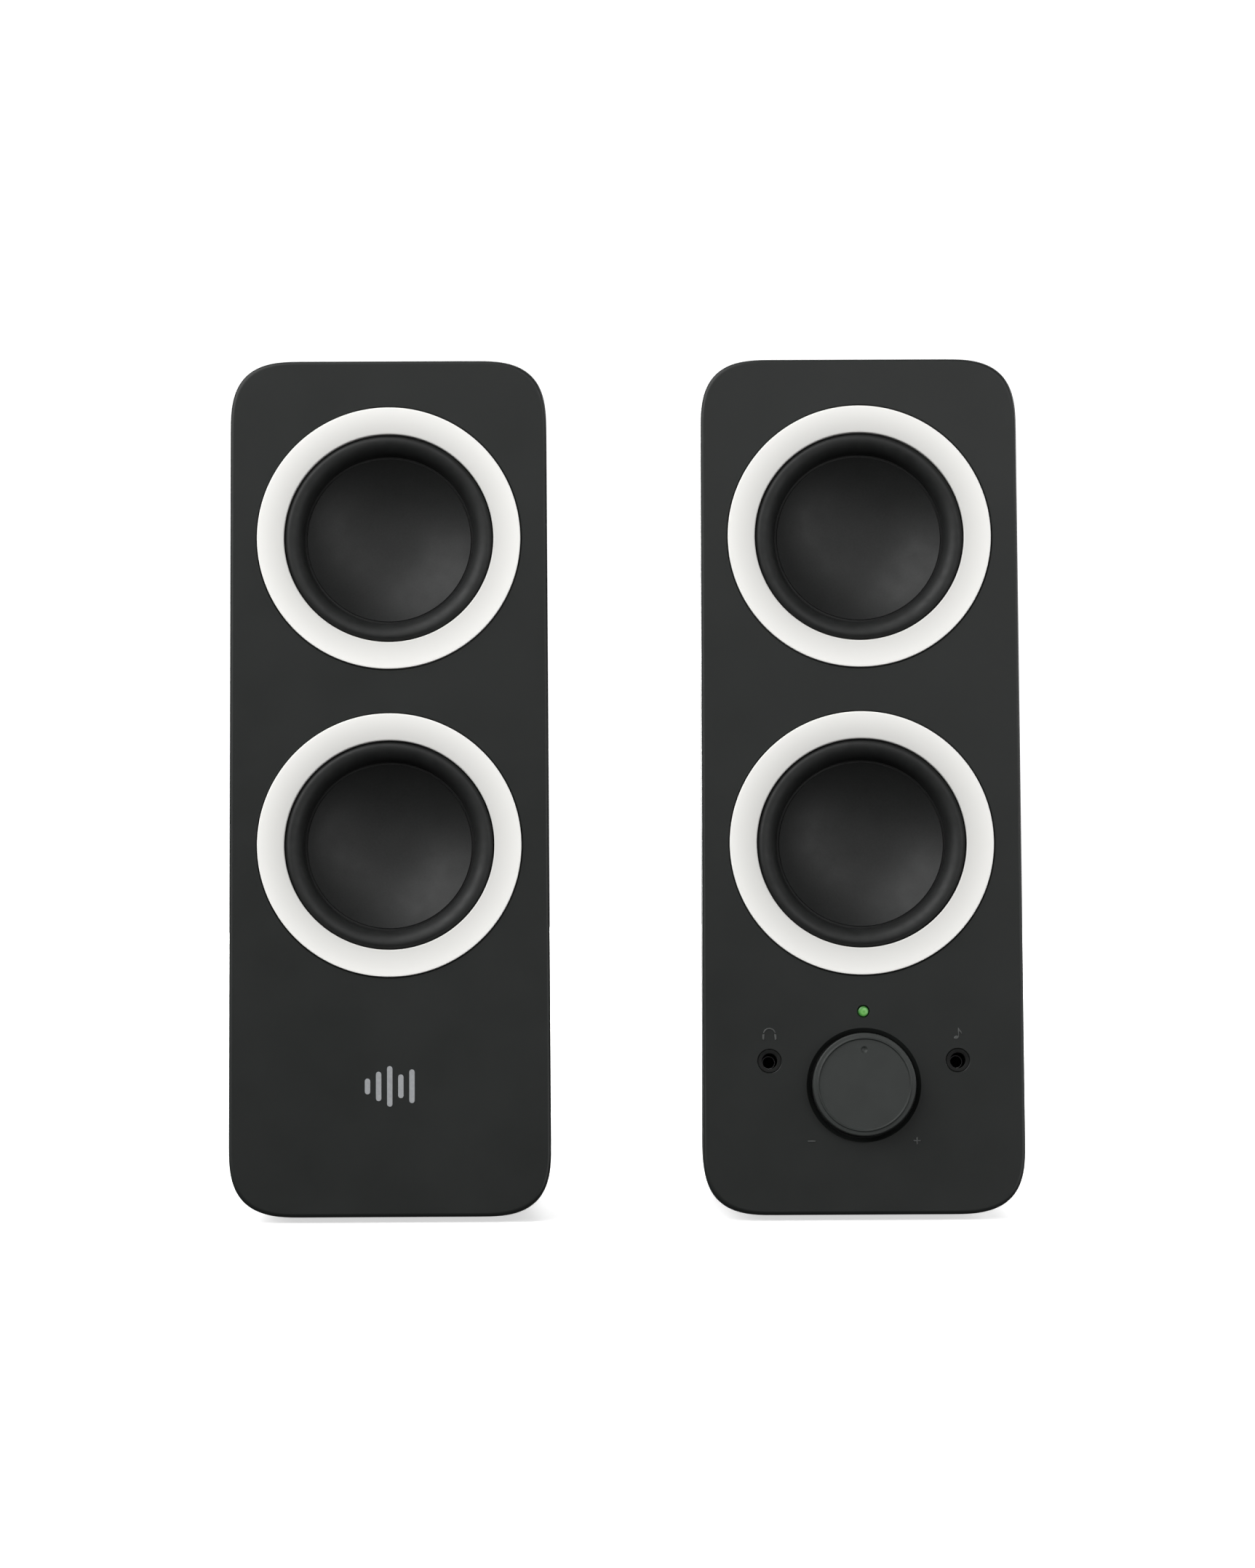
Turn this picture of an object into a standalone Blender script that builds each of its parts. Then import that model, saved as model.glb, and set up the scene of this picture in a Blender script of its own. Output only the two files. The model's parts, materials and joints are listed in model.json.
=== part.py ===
"""A pair of powered desktop speakers, modelled at real size.

World frame: +Z up, fronts face -Y, +X to the right of the listener who looks at them. The origin is on
the desk, under the middle of the pair. Each speaker is a moulded housing closed by a front baffle that
leans back. The baffle carries an active driver above a passive radiator, each inside a white trim ring.
The right speaker also holds the controls, the sockets and the amplifier.
"""

import math

import bmesh
import bpy
from mathutils import Vector

# Lengths are in millimetres, and MM turns them into the scene's metres.
MM = 0.001
GAP = 0.3

# Overall size and stance
SPEAKER_SPACING = 132.3
OVERALL_DEPTH = 124.0
LEAN = math.radians(6.0)
REAR_LEAN = math.radians(10.0)
FOOT_THICKNESS = 0.8
BASE_Z = FOOT_THICKNESS + GAP

# Front baffle: a dished panel with bosses on its back
FACE_BOTTOM_WIDTH = 90.0
FACE_TOP_WIDTH = 88.8
FACE_HEIGHT = 240.7
FACE_CORNER = 20.5
CORNER_EXPONENT = 3.0
CORNER_POINTS = 5
EDGE_ROUNDING = 1.0
BAFFLE_DEPTH = 7.0
BAFFLE_SKIN = 2.5
BAFFLE_WALL = 2.5
HOUSING_SEAT = BAFFLE_DEPTH + GAP

# Drivers, measured up the leaning face from its bottom edge
UPPER_V = 190.4
LOWER_V = 103.85
RING_OUTER_R = 37.0
RING_INNER_R = 29.4
RING_PROUD = 0.5
RING_BACK = 2.4
RECESS_R = RING_OUTER_R + GAP
RECESS_DEPTH = 4.0
DRIVER_HOLE_R = 33.0
DRIVER_BOSS_R = 40.0
CONE_R = 23.0
CONE_DEPTH = 6.7
CONE_CURVE = 2.2
CONE_THICKNESS = 0.7
CONE_RIM_WIDTH = 1.2
CONE_RIM_STEP = 0.3
CONE_EDGE_Z = -5.6
ROLL_CREST_R = 27.7
ROLL_CREST_Z = 0.1
ROLL_OUTER_R = 29.1
ROLL_INNER_R = 23.5
ROLL_FOOT_Z = -5.0
SURROUND_THICKNESS = 0.5
SURROUND_FLANGE_R = 31.6
SURROUND_SEAT_R = 31.9
CHASSIS_R = 36.7
CHASSIS_Z = -RING_BACK - GAP
CHASSIS_BODY_R = 32.6
CHASSIS_BORE_R = 30.3
COIL_R = 10.5
COIL_THICKNESS = 0.6
CAGE_FLOOR_Z = -22.2
MAGNET_R = 25.0
PLATE_R = 22.0
YOKE_R = 23.0
POLE_R = 9.4
BIG_SEGMENTS = 28
MID_SEGMENTS = 20
SMALL_SEGMENTS = 12
TINY_SEGMENTS = 8

# Controls on the right speaker
KNOB_V = 36.0
KNOB_R = 14.4
KNOB_CAP_R = 12.7
KNOB_PROUD = 5.0
KNOB_RECESS_R = 15.9
KNOB_RECESS_DEPTH = 2.5
KNOB_BOSS_R = 18.2
SHAFT_R = 3.0
LIGHT_V = 56.6
LIGHT_R = 1.4
JACK_X = 26.3
JACK_V = 42.8
JACK_BARREL_R = 3.0
JACK_BORE_R = 1.85
JACK_BODY_R = 4.4
JACK_BORE_DEPTH = 15.5
CONTROL_BOARD_DEPTH = 17.8
BOARD_THICKNESS = 1.6
POT_R = 8.5

# Housing shell
WALL = 2.5
REAR_FILLET = 8.0
REAR_TOP_Z = 228.0
TOP_CURVE = 1.8
NARROWING = 0.12
FILLET_START = 0.93
KNOB_LEAD = KNOB_PROUD * math.cos(LEAN) - (KNOB_V - KNOB_CAP_R) * math.sin(LEAN)
FACE_Y = KNOB_LEAD - OVERALL_DEPTH / 2
FACE_Z = BASE_Z + HOUSING_SEAT * math.sin(LEAN)
REAR_Y = OVERALL_DEPTH / 2 + REAR_FILLET * math.sin(REAR_LEAN)
REAR_TOP_Y = REAR_Y - (REAR_TOP_Z - BASE_Z) * math.tan(REAR_LEAN)

# Screws: each runs forward through a pillar of the housing into a boss of the baffle
SCREW_PLACES = {"low_left": (-31, 24), "low_right": (31, 24), "top_left": (-31, 224), "top_right": (31, 224)}
PILLAR_R = 4.2
WELL_R = 2.9
WELL_FLOOR = 6.0
SCREW_HEAD_R = 2.6
SCREW_SHANK_R = 1.25
PILOT_R = 1.6

# Rear of the speakers, measured up the rear face from the base
SOCKET_X = 14.0
SOCKET_V = 32.0
BASS_V = 72.0
REAR_BOARD_DEPTH = 14.4
SOCKET_HOLE_R = 4.3
SOCKET_R = 4.0
SOCKET_BODY_R = 6.0
PIN_R = 0.9

# Cutters: how far they stand in front of a face, and how far they go in
CUT_ABOVE = 5.0
BAFFLE_CUT = 20.0
REAR_CUT = 6.0
HOUSING_CUT = 150.0

# Feet
FOOT_LENGTH = 46.0
FOOT_WIDTH = 9.0
FOOT_CORNER = 3.0
FRONT_FOOT_SET = 27.0
REAR_FOOT_SET = 24.0

FINISHES = {
    "charcoal_plastic": ((0.035, 0.037, 0.036), 0.45, 0.0),
    "black_plastic": ((0.018, 0.018, 0.018), 0.55, 0.0),
    "knob_plastic": ((0.04, 0.042, 0.041), 0.4, 0.0),
    "white_plastic": ((0.82, 0.81, 0.78), 0.4, 0.0),
    "rubber": ((0.02, 0.02, 0.02), 0.6, 0.0),
    "cone_polypropylene": ((0.025, 0.026, 0.026), 0.4, 0.0),
    "spider_cloth": ((0.55, 0.38, 0.12), 0.9, 0.0),
    "ferrite": ((0.06, 0.06, 0.065), 0.6, 0.0),
    "steel": ((0.55, 0.55, 0.56), 0.35, 1.0),
    "copper": ((0.72, 0.35, 0.18), 0.35, 1.0),
    "aluminium": ((0.7, 0.7, 0.72), 0.4, 1.0),
    "circuit_board": ((0.03, 0.18, 0.07), 0.5, 0.0),
    "green_lens": ((0.15, 0.65, 0.2), 0.2, 0.0),
}


# ---- Scene and helpers -------------------------------------------------------------------------

def clear_scene():
    for obj in list(bpy.data.objects):
        bpy.data.objects.remove(obj, do_unlink=True)


def new_collection(name):
    collection = bpy.data.collections.new(name)
    bpy.context.scene.collection.children.link(collection)
    return collection


def make_finish(name):
    colour, roughness, metallic = FINISHES[name]
    made = bpy.data.materials.new(name)
    made.use_nodes = True
    shader = made.node_tree.nodes["Principled BSDF"]
    shader.inputs["Base Color"].default_value = (*colour, 1.0)
    shader.inputs["Roughness"].default_value = roughness
    shader.inputs["Metallic"].default_value = metallic
    return made


clear_scene()
PARTS = new_collection("desktop_speakers")
CUTTERS = new_collection("cutters")
CUTTERS.hide_render = True
MATERIALS = {name: make_finish(name) for name in FINISHES}


def add_frame(name, parent, place, turn=(0.0, 0.0, 0.0)):
    """An empty that other pieces are placed by."""
    frame = bpy.data.objects.new(name, None)
    frame.empty_display_size = 5 * MM
    frame.parent = parent
    frame.location = Vector(place) * MM
    frame.rotation_euler = turn
    PARTS.objects.link(frame)
    return frame


def add_piece(name, mesh, parent, finish):
    """A named piece, or a cutter where finish is None."""
    obj = bpy.data.objects.new(name, mesh)
    obj.parent = parent
    if finish is None:
        CUTTERS.objects.link(obj)
        obj.hide_render = True
        obj.display_type = "WIRE"
    else:
        PARTS.objects.link(obj)
        mesh.materials.append(MATERIALS[finish])
        mesh.shade_smooth()
        mesh.set_sharp_from_angle(angle=math.radians(35))
    return obj


def turned(name, profile, parent, finish, segments=MID_SEGMENTS, ring=False):
    """A piece turned about its frame's Z. The profile (radius, z) runs down its outer side."""
    last = len(profile) if ring else len(profile) - 1
    edges = [(i, (i + 1) % len(profile)) for i in range(last)]
    mesh = bpy.data.meshes.new(name)
    mesh.from_pydata([(r * MM, 0, z * MM) for r, z in profile], edges, [])
    obj = add_piece(name, mesh, parent, finish)
    screw = obj.modifiers.new("Turn", "SCREW")
    screw.steps = screw.render_steps = segments
    screw.use_smooth_shade = True
    screw.use_merge_vertices = True
    screw.merge_threshold = 0.00001
    return obj


def cylinder(name, radius, top, bottom, parent, finish=None, segments=MID_SEGMENTS, place=(0, 0, 0)):
    """A plain cylinder along its frame's Z, between two heights."""
    shape = bmesh.new()
    bmesh.ops.create_cone(
        shape, cap_ends=True, segments=segments, radius1=radius * MM, radius2=radius * MM,
        depth=(top - bottom) * MM,
    )
    bmesh.ops.translate(shape, verts=shape.verts, vec=(0, 0, (top + bottom) / 2 * MM))
    mesh = bpy.data.meshes.new(name)
    shape.to_mesh(mesh)
    shape.free()
    obj = add_piece(name, mesh, parent, finish)
    obj.location = Vector(place) * MM
    return obj


def block(name, low, high, parent, finish=None):
    """A plain box between two corners of its frame."""
    shape = bmesh.new()
    bmesh.ops.create_cube(shape, size=1.0)
    size = Vector(high) - Vector(low)
    bmesh.ops.scale(shape, verts=shape.verts, vec=size * MM)
    bmesh.ops.translate(shape, verts=shape.verts, vec=(Vector(high) + Vector(low)) / 2 * MM)
    mesh = bpy.data.meshes.new(name)
    shape.to_mesh(mesh)
    shape.free()
    return add_piece(name, mesh, parent, finish)


def loft(name, sections, parent, finish):
    """A closed skin over sections with equal numbers of points, capped at both ends."""
    shape = bmesh.new()
    loops = [[shape.verts.new(Vector(point) * MM) for point in section] for section in sections]
    for near, far in zip(loops, loops[1:]):
        for i in range(len(near)):
            j = (i + 1) % len(near)
            shape.faces.new((near[i], near[j], far[j], far[i]))
    shape.faces.new(loops[0])
    shape.faces.new(loops[-1])
    bmesh.ops.recalc_face_normals(shape, faces=shape.faces)
    mesh = bpy.data.meshes.new(name)
    shape.to_mesh(mesh)
    shape.free()
    return add_piece(name, mesh, parent, finish)


def cut(target, cutter):
    """Takes the cutter out of the target, together with all the cutters it had before."""
    boolean = target.modifiers.get("Cut")
    if boolean is None:
        boolean = target.modifiers.new("Cut", "BOOLEAN")
        boolean.operation = "DIFFERENCE"
        boolean.operand_type = "COLLECTION"
        boolean.collection = bpy.data.collections.new(f"{target.name}_cutters")
        CUTTERS.children.link(boolean.collection)
    CUTTERS.objects.unlink(cutter)
    boolean.collection.objects.link(cutter)


def bore(target, name, radius, top, bottom, place, segments=MID_SEGMENTS):
    """Takes a round hole along the place's Z, between two heights, out of the target."""
    cut(target, cylinder(name, radius, top, bottom, place, None, segments))


def outline(bottom_width, top_width, height, corner, inset=0.0):
    """Points (x, v) round an upright panel whose four corners are quarters of a superellipse."""
    reach = corner - inset / 2
    points = []
    for side, upper in ((1, False), (1, True), (-1, True), (-1, False)):
        for step in range(CORNER_POINTS):
            share = step / (CORNER_POINTS - 1)
            angle = math.radians(90) * (share if upper == (side == 1) else 1 - share)
            from_side = reach * (1 - math.cos(angle) ** (2 / CORNER_EXPONENT))
            from_end = reach * (1 - max(math.sin(angle), 0) ** (2 / CORNER_EXPONENT))
            v = height - inset - from_end if upper else inset + from_end
            half = (bottom_width + (top_width - bottom_width) * v / height) / 2 - inset
            points.append((side * (half - from_side), v))
    return points


def face_outline(inset, depth):
    """The baffle's outline in the face frame, pulled in by inset, at a depth behind the face."""
    flat = outline(FACE_BOTTOM_WIDTH, FACE_TOP_WIDTH, FACE_HEIGHT, FACE_CORNER, inset)
    return [(x, depth, v) for x, v in flat]


def face_point(depth, v):
    """A point of the face frame on the speaker's middle plane, in the speaker's frame."""
    return Vector((
        0,
        FACE_Y + depth * math.cos(LEAN) + v * math.sin(LEAN),
        FACE_Z - depth * math.sin(LEAN) + v * math.cos(LEAN),
    ))


# ---- Housing and baffle ------------------------------------------------------------------------

def housing_section(share, wall=0.0):
    """The housing's outline from its front edge, share 0, to its rear face, share 1."""
    going = max(share, 0.0)
    low = face_point(HOUSING_SEAT, 0)
    high = face_point(HOUSING_SEAT, FACE_HEIGHT)
    low.y += (REAR_Y - wall - low.y) * share
    high.y += (REAR_TOP_Y - wall - high.y) * share
    high.z -= (high.z - REAR_TOP_Z) * going ** TOP_CURVE
    bend = max(going - FILLET_START, 0.0) / (1 - FILLET_START)
    inset = wall + REAR_FILLET * (1 - math.sqrt(1 - bend * bend))
    narrow = 1 - NARROWING * going * going
    height = (high - low).length
    flat = outline(FACE_BOTTOM_WIDTH * narrow, FACE_TOP_WIDTH * narrow, height, FACE_CORNER, inset)
    return [Vector((x, 0, 0)) + low.lerp(high, v / height) for x, v in flat]


def make_housing(side, speaker, places):
    shares = (0.0, 0.35, 0.7, FILLET_START, 0.965, 0.99, 1.0)
    body = loft(f"{side}_rear_housing", [housing_section(s) for s in shares], speaker, "charcoal_plastic")
    inner = (-0.03, 0.35, 0.7, FILLET_START, 0.98, 1.0)
    cavity = loft(f"{side}_cavity", [housing_section(s, WALL) for s in inner], speaker, None)
    for name, place in places.items():
        bore(cavity, f"{side}_pillar_{name}", PILLAR_R, 0, -HOUSING_CUT, place, TINY_SEGMENTS)
    cut(body, cavity)
    for name, place in places.items():
        well_top = -HOUSING_SEAT - WELL_FLOOR
        bore(body, f"{side}_well_{name}", WELL_R, well_top, -HOUSING_CUT, place, TINY_SEGMENTS)
        bore(body, f"{side}_bore_{name}", PILOT_R, 0, well_top - 1, place, TINY_SEGMENTS)
    return body


def make_baffle(side, face, driver_places, screw_places):
    sections = [
        face_outline(EDGE_ROUNDING, 0),
        face_outline(EDGE_ROUNDING * 0.3, EDGE_ROUNDING * 0.3),
        face_outline(0, EDGE_ROUNDING),
        face_outline(0, BAFFLE_DEPTH),
    ]
    panel = loft(f"{side}_front_baffle", sections, face, "charcoal_plastic")
    pocket = loft(
        f"{side}_pocket",
        [face_outline(BAFFLE_WALL, BAFFLE_SKIN), face_outline(BAFFLE_WALL, BAFFLE_DEPTH + 2)], face, None,
    )
    for name, place in driver_places.items():
        bore(pocket, f"{side}_{name}_boss", DRIVER_BOSS_R, CUT_ABOVE, -BAFFLE_CUT, place)
        bore(panel, f"{side}_{name}_recess", RECESS_R, CUT_ABOVE, -RECESS_DEPTH, place, BIG_SEGMENTS)
        bore(panel, f"{side}_{name}_hole", DRIVER_HOLE_R, CUT_ABOVE, -BAFFLE_CUT, place, BIG_SEGMENTS)
    for name, place in screw_places.items():
        bore(pocket, f"{side}_{name}_boss", PILLAR_R, CUT_ABOVE, -BAFFLE_CUT, place, TINY_SEGMENTS)
        bore(panel, f"{side}_{name}_pilot", PILOT_R, -BAFFLE_SKIN, -BAFFLE_CUT, place, TINY_SEGMENTS)
    return panel, pocket


def make_screw(name, place):
    head_seat = -HOUSING_SEAT - WELL_FLOOR - GAP
    tip = -BAFFLE_SKIN - GAP
    profile = [
        (0, tip), (SCREW_SHANK_R * 0.7, tip), (SCREW_SHANK_R, tip - 0.6), (SCREW_SHANK_R, head_seat),
        (SCREW_HEAD_R, head_seat), (SCREW_HEAD_R, head_seat - 1.2), (SCREW_HEAD_R * 0.7, head_seat - 1.9),
        (0, head_seat - 1.9),
    ]
    turned(name, profile, place, "steel", TINY_SEGMENTS)


def make_feet(side, speaker):
    for name, y in (("front", FACE_Y + FRONT_FOOT_SET), ("rear", REAR_Y - REAR_FOOT_SET)):
        flat = outline(FOOT_LENGTH, FOOT_LENGTH, FOOT_WIDTH, FOOT_CORNER)
        levels = [[(x, y + v - FOOT_WIDTH / 2, z) for x, v in flat] for z in (0, FOOT_THICKNESS)]
        loft(f"{side}_{name}_foot", levels, speaker, "rubber")


# ---- Drivers -----------------------------------------------------------------------------------

def roll_arc(inset, flank_steps, shoulder_steps):
    """A roll's outline from its foot on the cone, up the long inner flank and over the crest."""
    flank, rise = ROLL_CREST_R - ROLL_INNER_R - inset, ROLL_CREST_Z - ROLL_FOOT_Z - inset
    shoulder = ROLL_OUTER_R - ROLL_CREST_R - inset
    drop = ROLL_CREST_Z - inset - shoulder
    points = []
    for i in range(flank_steps):
        angle = math.radians(90) * i / flank_steps
        points.append((ROLL_CREST_R - flank * math.cos(angle), ROLL_FOOT_Z + rise * math.sin(angle)))
    for i in range(shoulder_steps + 1):
        angle = math.radians(90) * i / shoulder_steps
        points.append((ROLL_CREST_R + shoulder * math.sin(angle), drop + shoulder * math.cos(angle)))
    return points


def make_surround(name, place):
    """Rubber roll with a flat outer flange glued to the frame and a deeper inner foot on the cone."""
    flange_z = CHASSIS_Z - GAP
    foot_z = ROLL_FOOT_Z - SURROUND_THICKNESS
    outer = roll_arc(0.0, 3, 2)
    inner = roll_arc(SURROUND_THICKNESS, 3, 1)
    under_z = flange_z - SURROUND_THICKNESS
    profile = [(SURROUND_FLANGE_R, flange_z), (SURROUND_FLANGE_R, under_z), (inner[-1][0], under_z)]
    profile += inner[::-1] + [(inner[0][0], foot_z), (ROLL_INNER_R - 0.2, foot_z)]
    profile += outer + [(ROLL_OUTER_R, flange_z)]
    turned(name, profile, place, "rubber", MID_SEGMENTS, ring=True)


def dish_z(radius):
    """Height of the cone's front surface."""
    return CONE_EDGE_Z - CONE_DEPTH * (1 - (radius / CONE_R) ** CONE_CURVE)


def make_cone(name, place, back_boss):
    """A smooth dish with no dust cap. Its rim reaches under the surround's inner flange."""
    boss_r = 8
    rim_z = CONE_EDGE_Z - CONE_RIM_STEP
    rim_r = CONE_R + CONE_RIM_WIDTH
    back_z = dish_z(boss_r) - CONE_THICKNESS
    profile = [(r, dish_z(r)) for r in (0, 8, 16, CONE_R)] + [(CONE_R, rim_z), (rim_r, rim_z)]
    profile += [(rim_r, rim_z - CONE_THICKNESS), (CONE_R - 1, rim_z - CONE_THICKNESS)]
    profile += [(14, dish_z(14) - CONE_THICKNESS), (boss_r, back_z)]
    profile += [(boss_r, back_z - back_boss), (0, back_z - back_boss)]
    turned(name, profile, place, "cone_polypropylene", MID_SEGMENTS)


def make_trim_ring(name, place):
    """A white ring, almost flat, with its outer edge a little prouder than its eased inner lip."""
    lip_z = RING_PROUD - 0.25
    profile = [
        (RING_OUTER_R - 0.5, RING_PROUD), (RING_OUTER_R, 0), (RING_OUTER_R, -RING_BACK),
        (RING_INNER_R, -RING_BACK), (RING_INNER_R, lip_z - 0.4), (RING_INNER_R + 0.4, lip_z),
    ]
    turned(name, profile, place, "white_plastic", BIG_SEGMENTS, ring=True)


def make_basket(prefix, place):
    """The active driver's chassis: a flange, a cage with four windows and a floor round the coil."""
    outer_floor_z, inner_floor_z = CAGE_FLOOR_Z, CAGE_FLOOR_Z + 1
    basket = turned(f"{prefix}_basket", [
        (CHASSIS_R, CHASSIS_Z), (CHASSIS_R, CHASSIS_Z - 1), (CHASSIS_BODY_R, CHASSIS_Z - 1),
        (CHASSIS_BODY_R, -5.2), (25.5, -16.8), (21.2, -17.6), (21.2, outer_floor_z), (12.5, outer_floor_z),
        (12.5, inner_floor_z), (20.2, inner_floor_z), (20.2, -16.6), (24.6, -15.9), (CHASSIS_BORE_R, -5.2),
        (CHASSIS_BORE_R, -3.9), (SURROUND_SEAT_R, -3.9), (SURROUND_SEAT_R, CHASSIS_Z),
    ], place, "black_plastic", MID_SEGMENTS, ring=True)
    reach, half_width, top, bottom = 40, 6, -7.5, -14
    for name, x, y in (("across", reach, half_width), ("upright", half_width, reach)):
        cut(basket, block(f"{prefix}_window_{name}", (-x, -y, bottom), (x, y, top), place))


def make_motor(prefix, place):
    """Spider, voice coil, top plate, ring magnet and the yoke with its pole."""
    top, bottom, inner_r, outer_r, wave = -15.0, -15.5, 10.9, 23.4, 0.8
    turned(f"{prefix}_spider", [
        (outer_r, top), (outer_r, bottom), (20.0, bottom), (17.0, bottom - wave - 0.1), (14.0, bottom),
        (inner_r, bottom), (inner_r, top), (14.0, top), (17.0, top - wave), (20.0, top),
    ], place, "spider_cloth", MID_SEGMENTS, ring=True)
    winding_r, former_top, winding_top, coil_end = COIL_R + COIL_THICKNESS, -12.1, -20.9, -25.0
    turned(f"{prefix}_voice_coil", [
        (COIL_R, former_top), (COIL_R, winding_top), (winding_r, winding_top), (winding_r, coil_end),
        (COIL_R - COIL_THICKNESS, coil_end), (COIL_R - COIL_THICKNESS, former_top),
    ], place, "copper", MID_SEGMENTS, ring=True)
    plate_top = CAGE_FLOOR_Z - GAP
    plate_end = plate_top - 3
    magnet_end = plate_end - GAP - 8
    back_top = magnet_end - GAP
    gap_r = winding_r + 0.5
    turned(f"{prefix}_top_plate",
           [(PLATE_R, plate_top), (PLATE_R, plate_end), (gap_r, plate_end), (gap_r, plate_top)],
           place, "steel", MID_SEGMENTS, ring=True)
    turned(f"{prefix}_magnet", [
        (MAGNET_R, plate_end - GAP), (MAGNET_R, magnet_end), (13.5, magnet_end), (13.5, plate_end - GAP),
    ], place, "ferrite", MID_SEGMENTS, ring=True)
    turned(f"{prefix}_yoke", [
        (0, plate_top), (POLE_R, plate_top), (POLE_R, back_top), (YOKE_R, back_top), (YOKE_R, back_top - 3),
        (0, back_top - 3),
    ], place, "steel", MID_SEGMENTS)


def make_active_driver(side, place):
    prefix = f"{side}_driver"
    make_basket(prefix, place)
    make_motor(prefix, place)
    make_cone(f"{prefix}_cone", place, 0.0)
    make_surround(f"{prefix}_surround", place)


def make_passive_radiator(side, place):
    turned(f"{side}_radiator_frame", [
        (CHASSIS_R, CHASSIS_Z), (CHASSIS_R, CHASSIS_Z - 1), (CHASSIS_BODY_R, CHASSIS_Z - 1),
        (CHASSIS_BODY_R, -6.5), (CHASSIS_BORE_R, -6.5), (CHASSIS_BORE_R, -3.9), (SURROUND_SEAT_R, -3.9),
        (SURROUND_SEAT_R, CHASSIS_Z),
    ], place, "black_plastic", MID_SEGMENTS, ring=True)
    make_cone(f"{side}_radiator_cone", place, 2.0)
    make_surround(f"{side}_radiator_surround", place)


# ---- Controls, sockets and electronics ---------------------------------------------------------

def make_volume_control(place, panel, pocket):
    bore(pocket, "volume_boss", KNOB_BOSS_R, CUT_ABOVE, -BAFFLE_CUT, place)
    bore(panel, "volume_recess", KNOB_RECESS_R, CUT_ABOVE, -KNOB_RECESS_DEPTH, place, BIG_SEGMENTS)
    bore(panel, "volume_hole", SHAFT_R + 2 * GAP, CUT_ABOVE, -BAFFLE_CUT, place, SMALL_SEGMENTS)
    foot_z = GAP - KNOB_RECESS_DEPTH
    socket_r = SHAFT_R + GAP
    shaft_top, shaft_end = 1.8, -16.0
    rim_bevel = 1.1
    cap_z = KNOB_PROUD - 0.4
    turned("volume_knob", [
        (0, cap_z), (KNOB_CAP_R - 0.1, cap_z), (KNOB_CAP_R, KNOB_PROUD), (KNOB_R - rim_bevel, KNOB_PROUD),
        (KNOB_R, KNOB_PROUD - rim_bevel), (KNOB_R, foot_z), (socket_r, foot_z), (socket_r, shaft_top + GAP),
        (0, shaft_top + GAP),
    ], place, "knob_plastic", BIG_SEGMENTS)
    turned("volume_shaft", [(0, shaft_top), (SHAFT_R, shaft_top), (SHAFT_R, shaft_end), (0, shaft_end)],
           place, "steel", SMALL_SEGMENTS)
    front, back = -BAFFLE_DEPTH - 0.5, GAP - CONTROL_BOARD_DEPTH
    turned("volume_control", [
        (0, shaft_end - GAP), (socket_r, shaft_end - GAP), (socket_r, front), (POT_R, front), (POT_R, back),
        (0, back),
    ], place, "steel", MID_SEGMENTS)


def make_power_light(place, panel, pocket):
    bore(pocket, "light_boss", LIGHT_R + 1.8, CUT_ABOVE, -BAFFLE_CUT, place, TINY_SEGMENTS)
    bore(panel, "light_hole", LIGHT_R + GAP, CUT_ABOVE, -BAFFLE_CUT, place, SMALL_SEGMENTS)
    back = GAP - CONTROL_BOARD_DEPTH
    turned("power_light", [
        (0, 0.4), (LIGHT_R * 0.65, 0.2), (LIGHT_R, -0.3), (LIGHT_R, back), (0, back),
    ], place, "green_lens", SMALL_SEGMENTS)


def make_jack(name, place, panel, pocket):
    """A 3.5 mm socket: a barrel in the baffle's hole and a body behind it, with a blind bore."""
    bore(pocket, f"{name}_boss", JACK_BARREL_R + 2, CUT_ABOVE, -BAFFLE_CUT, place, TINY_SEGMENTS)
    hole_r = JACK_BARREL_R + GAP
    bore(panel, f"{name}_hole", hole_r, CUT_ABOVE, -BAFFLE_CUT, place, SMALL_SEGMENTS)
    mouth_z, shoulder_z, back = -0.5, -BAFFLE_DEPTH - GAP, GAP - CONTROL_BOARD_DEPTH
    turned(name, [
        (0, -JACK_BORE_DEPTH), (JACK_BORE_R, -JACK_BORE_DEPTH), (JACK_BORE_R, mouth_z - 0.4), (2.25, mouth_z),
        (JACK_BARREL_R, mouth_z), (JACK_BARREL_R, shoulder_z), (JACK_BODY_R, shoulder_z), (JACK_BODY_R, back),
        (0, back),
    ], place, "black_plastic", SMALL_SEGMENTS)


def make_front_controls(face, panel, pocket):
    upright = (math.radians(90), 0, 0)
    make_volume_control(add_frame("volume_axis", face, (0, 0, KNOB_V), upright), panel, pocket)
    make_power_light(add_frame("light_axis", face, (0, 0, LIGHT_V), upright), panel, pocket)
    for name, x in (("headphone_jack", -JACK_X), ("aux_jack", JACK_X)):
        make_jack(name, add_frame(f"{name}_axis", face, (x, 0, JACK_V), upright), panel, pocket)
    half_width, bottom, top = 31, 30, 62
    back = CONTROL_BOARD_DEPTH + BOARD_THICKNESS
    block("control_board", (-half_width, CONTROL_BOARD_DEPTH, bottom), (half_width, back, top), face,
          "circuit_board")


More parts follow.
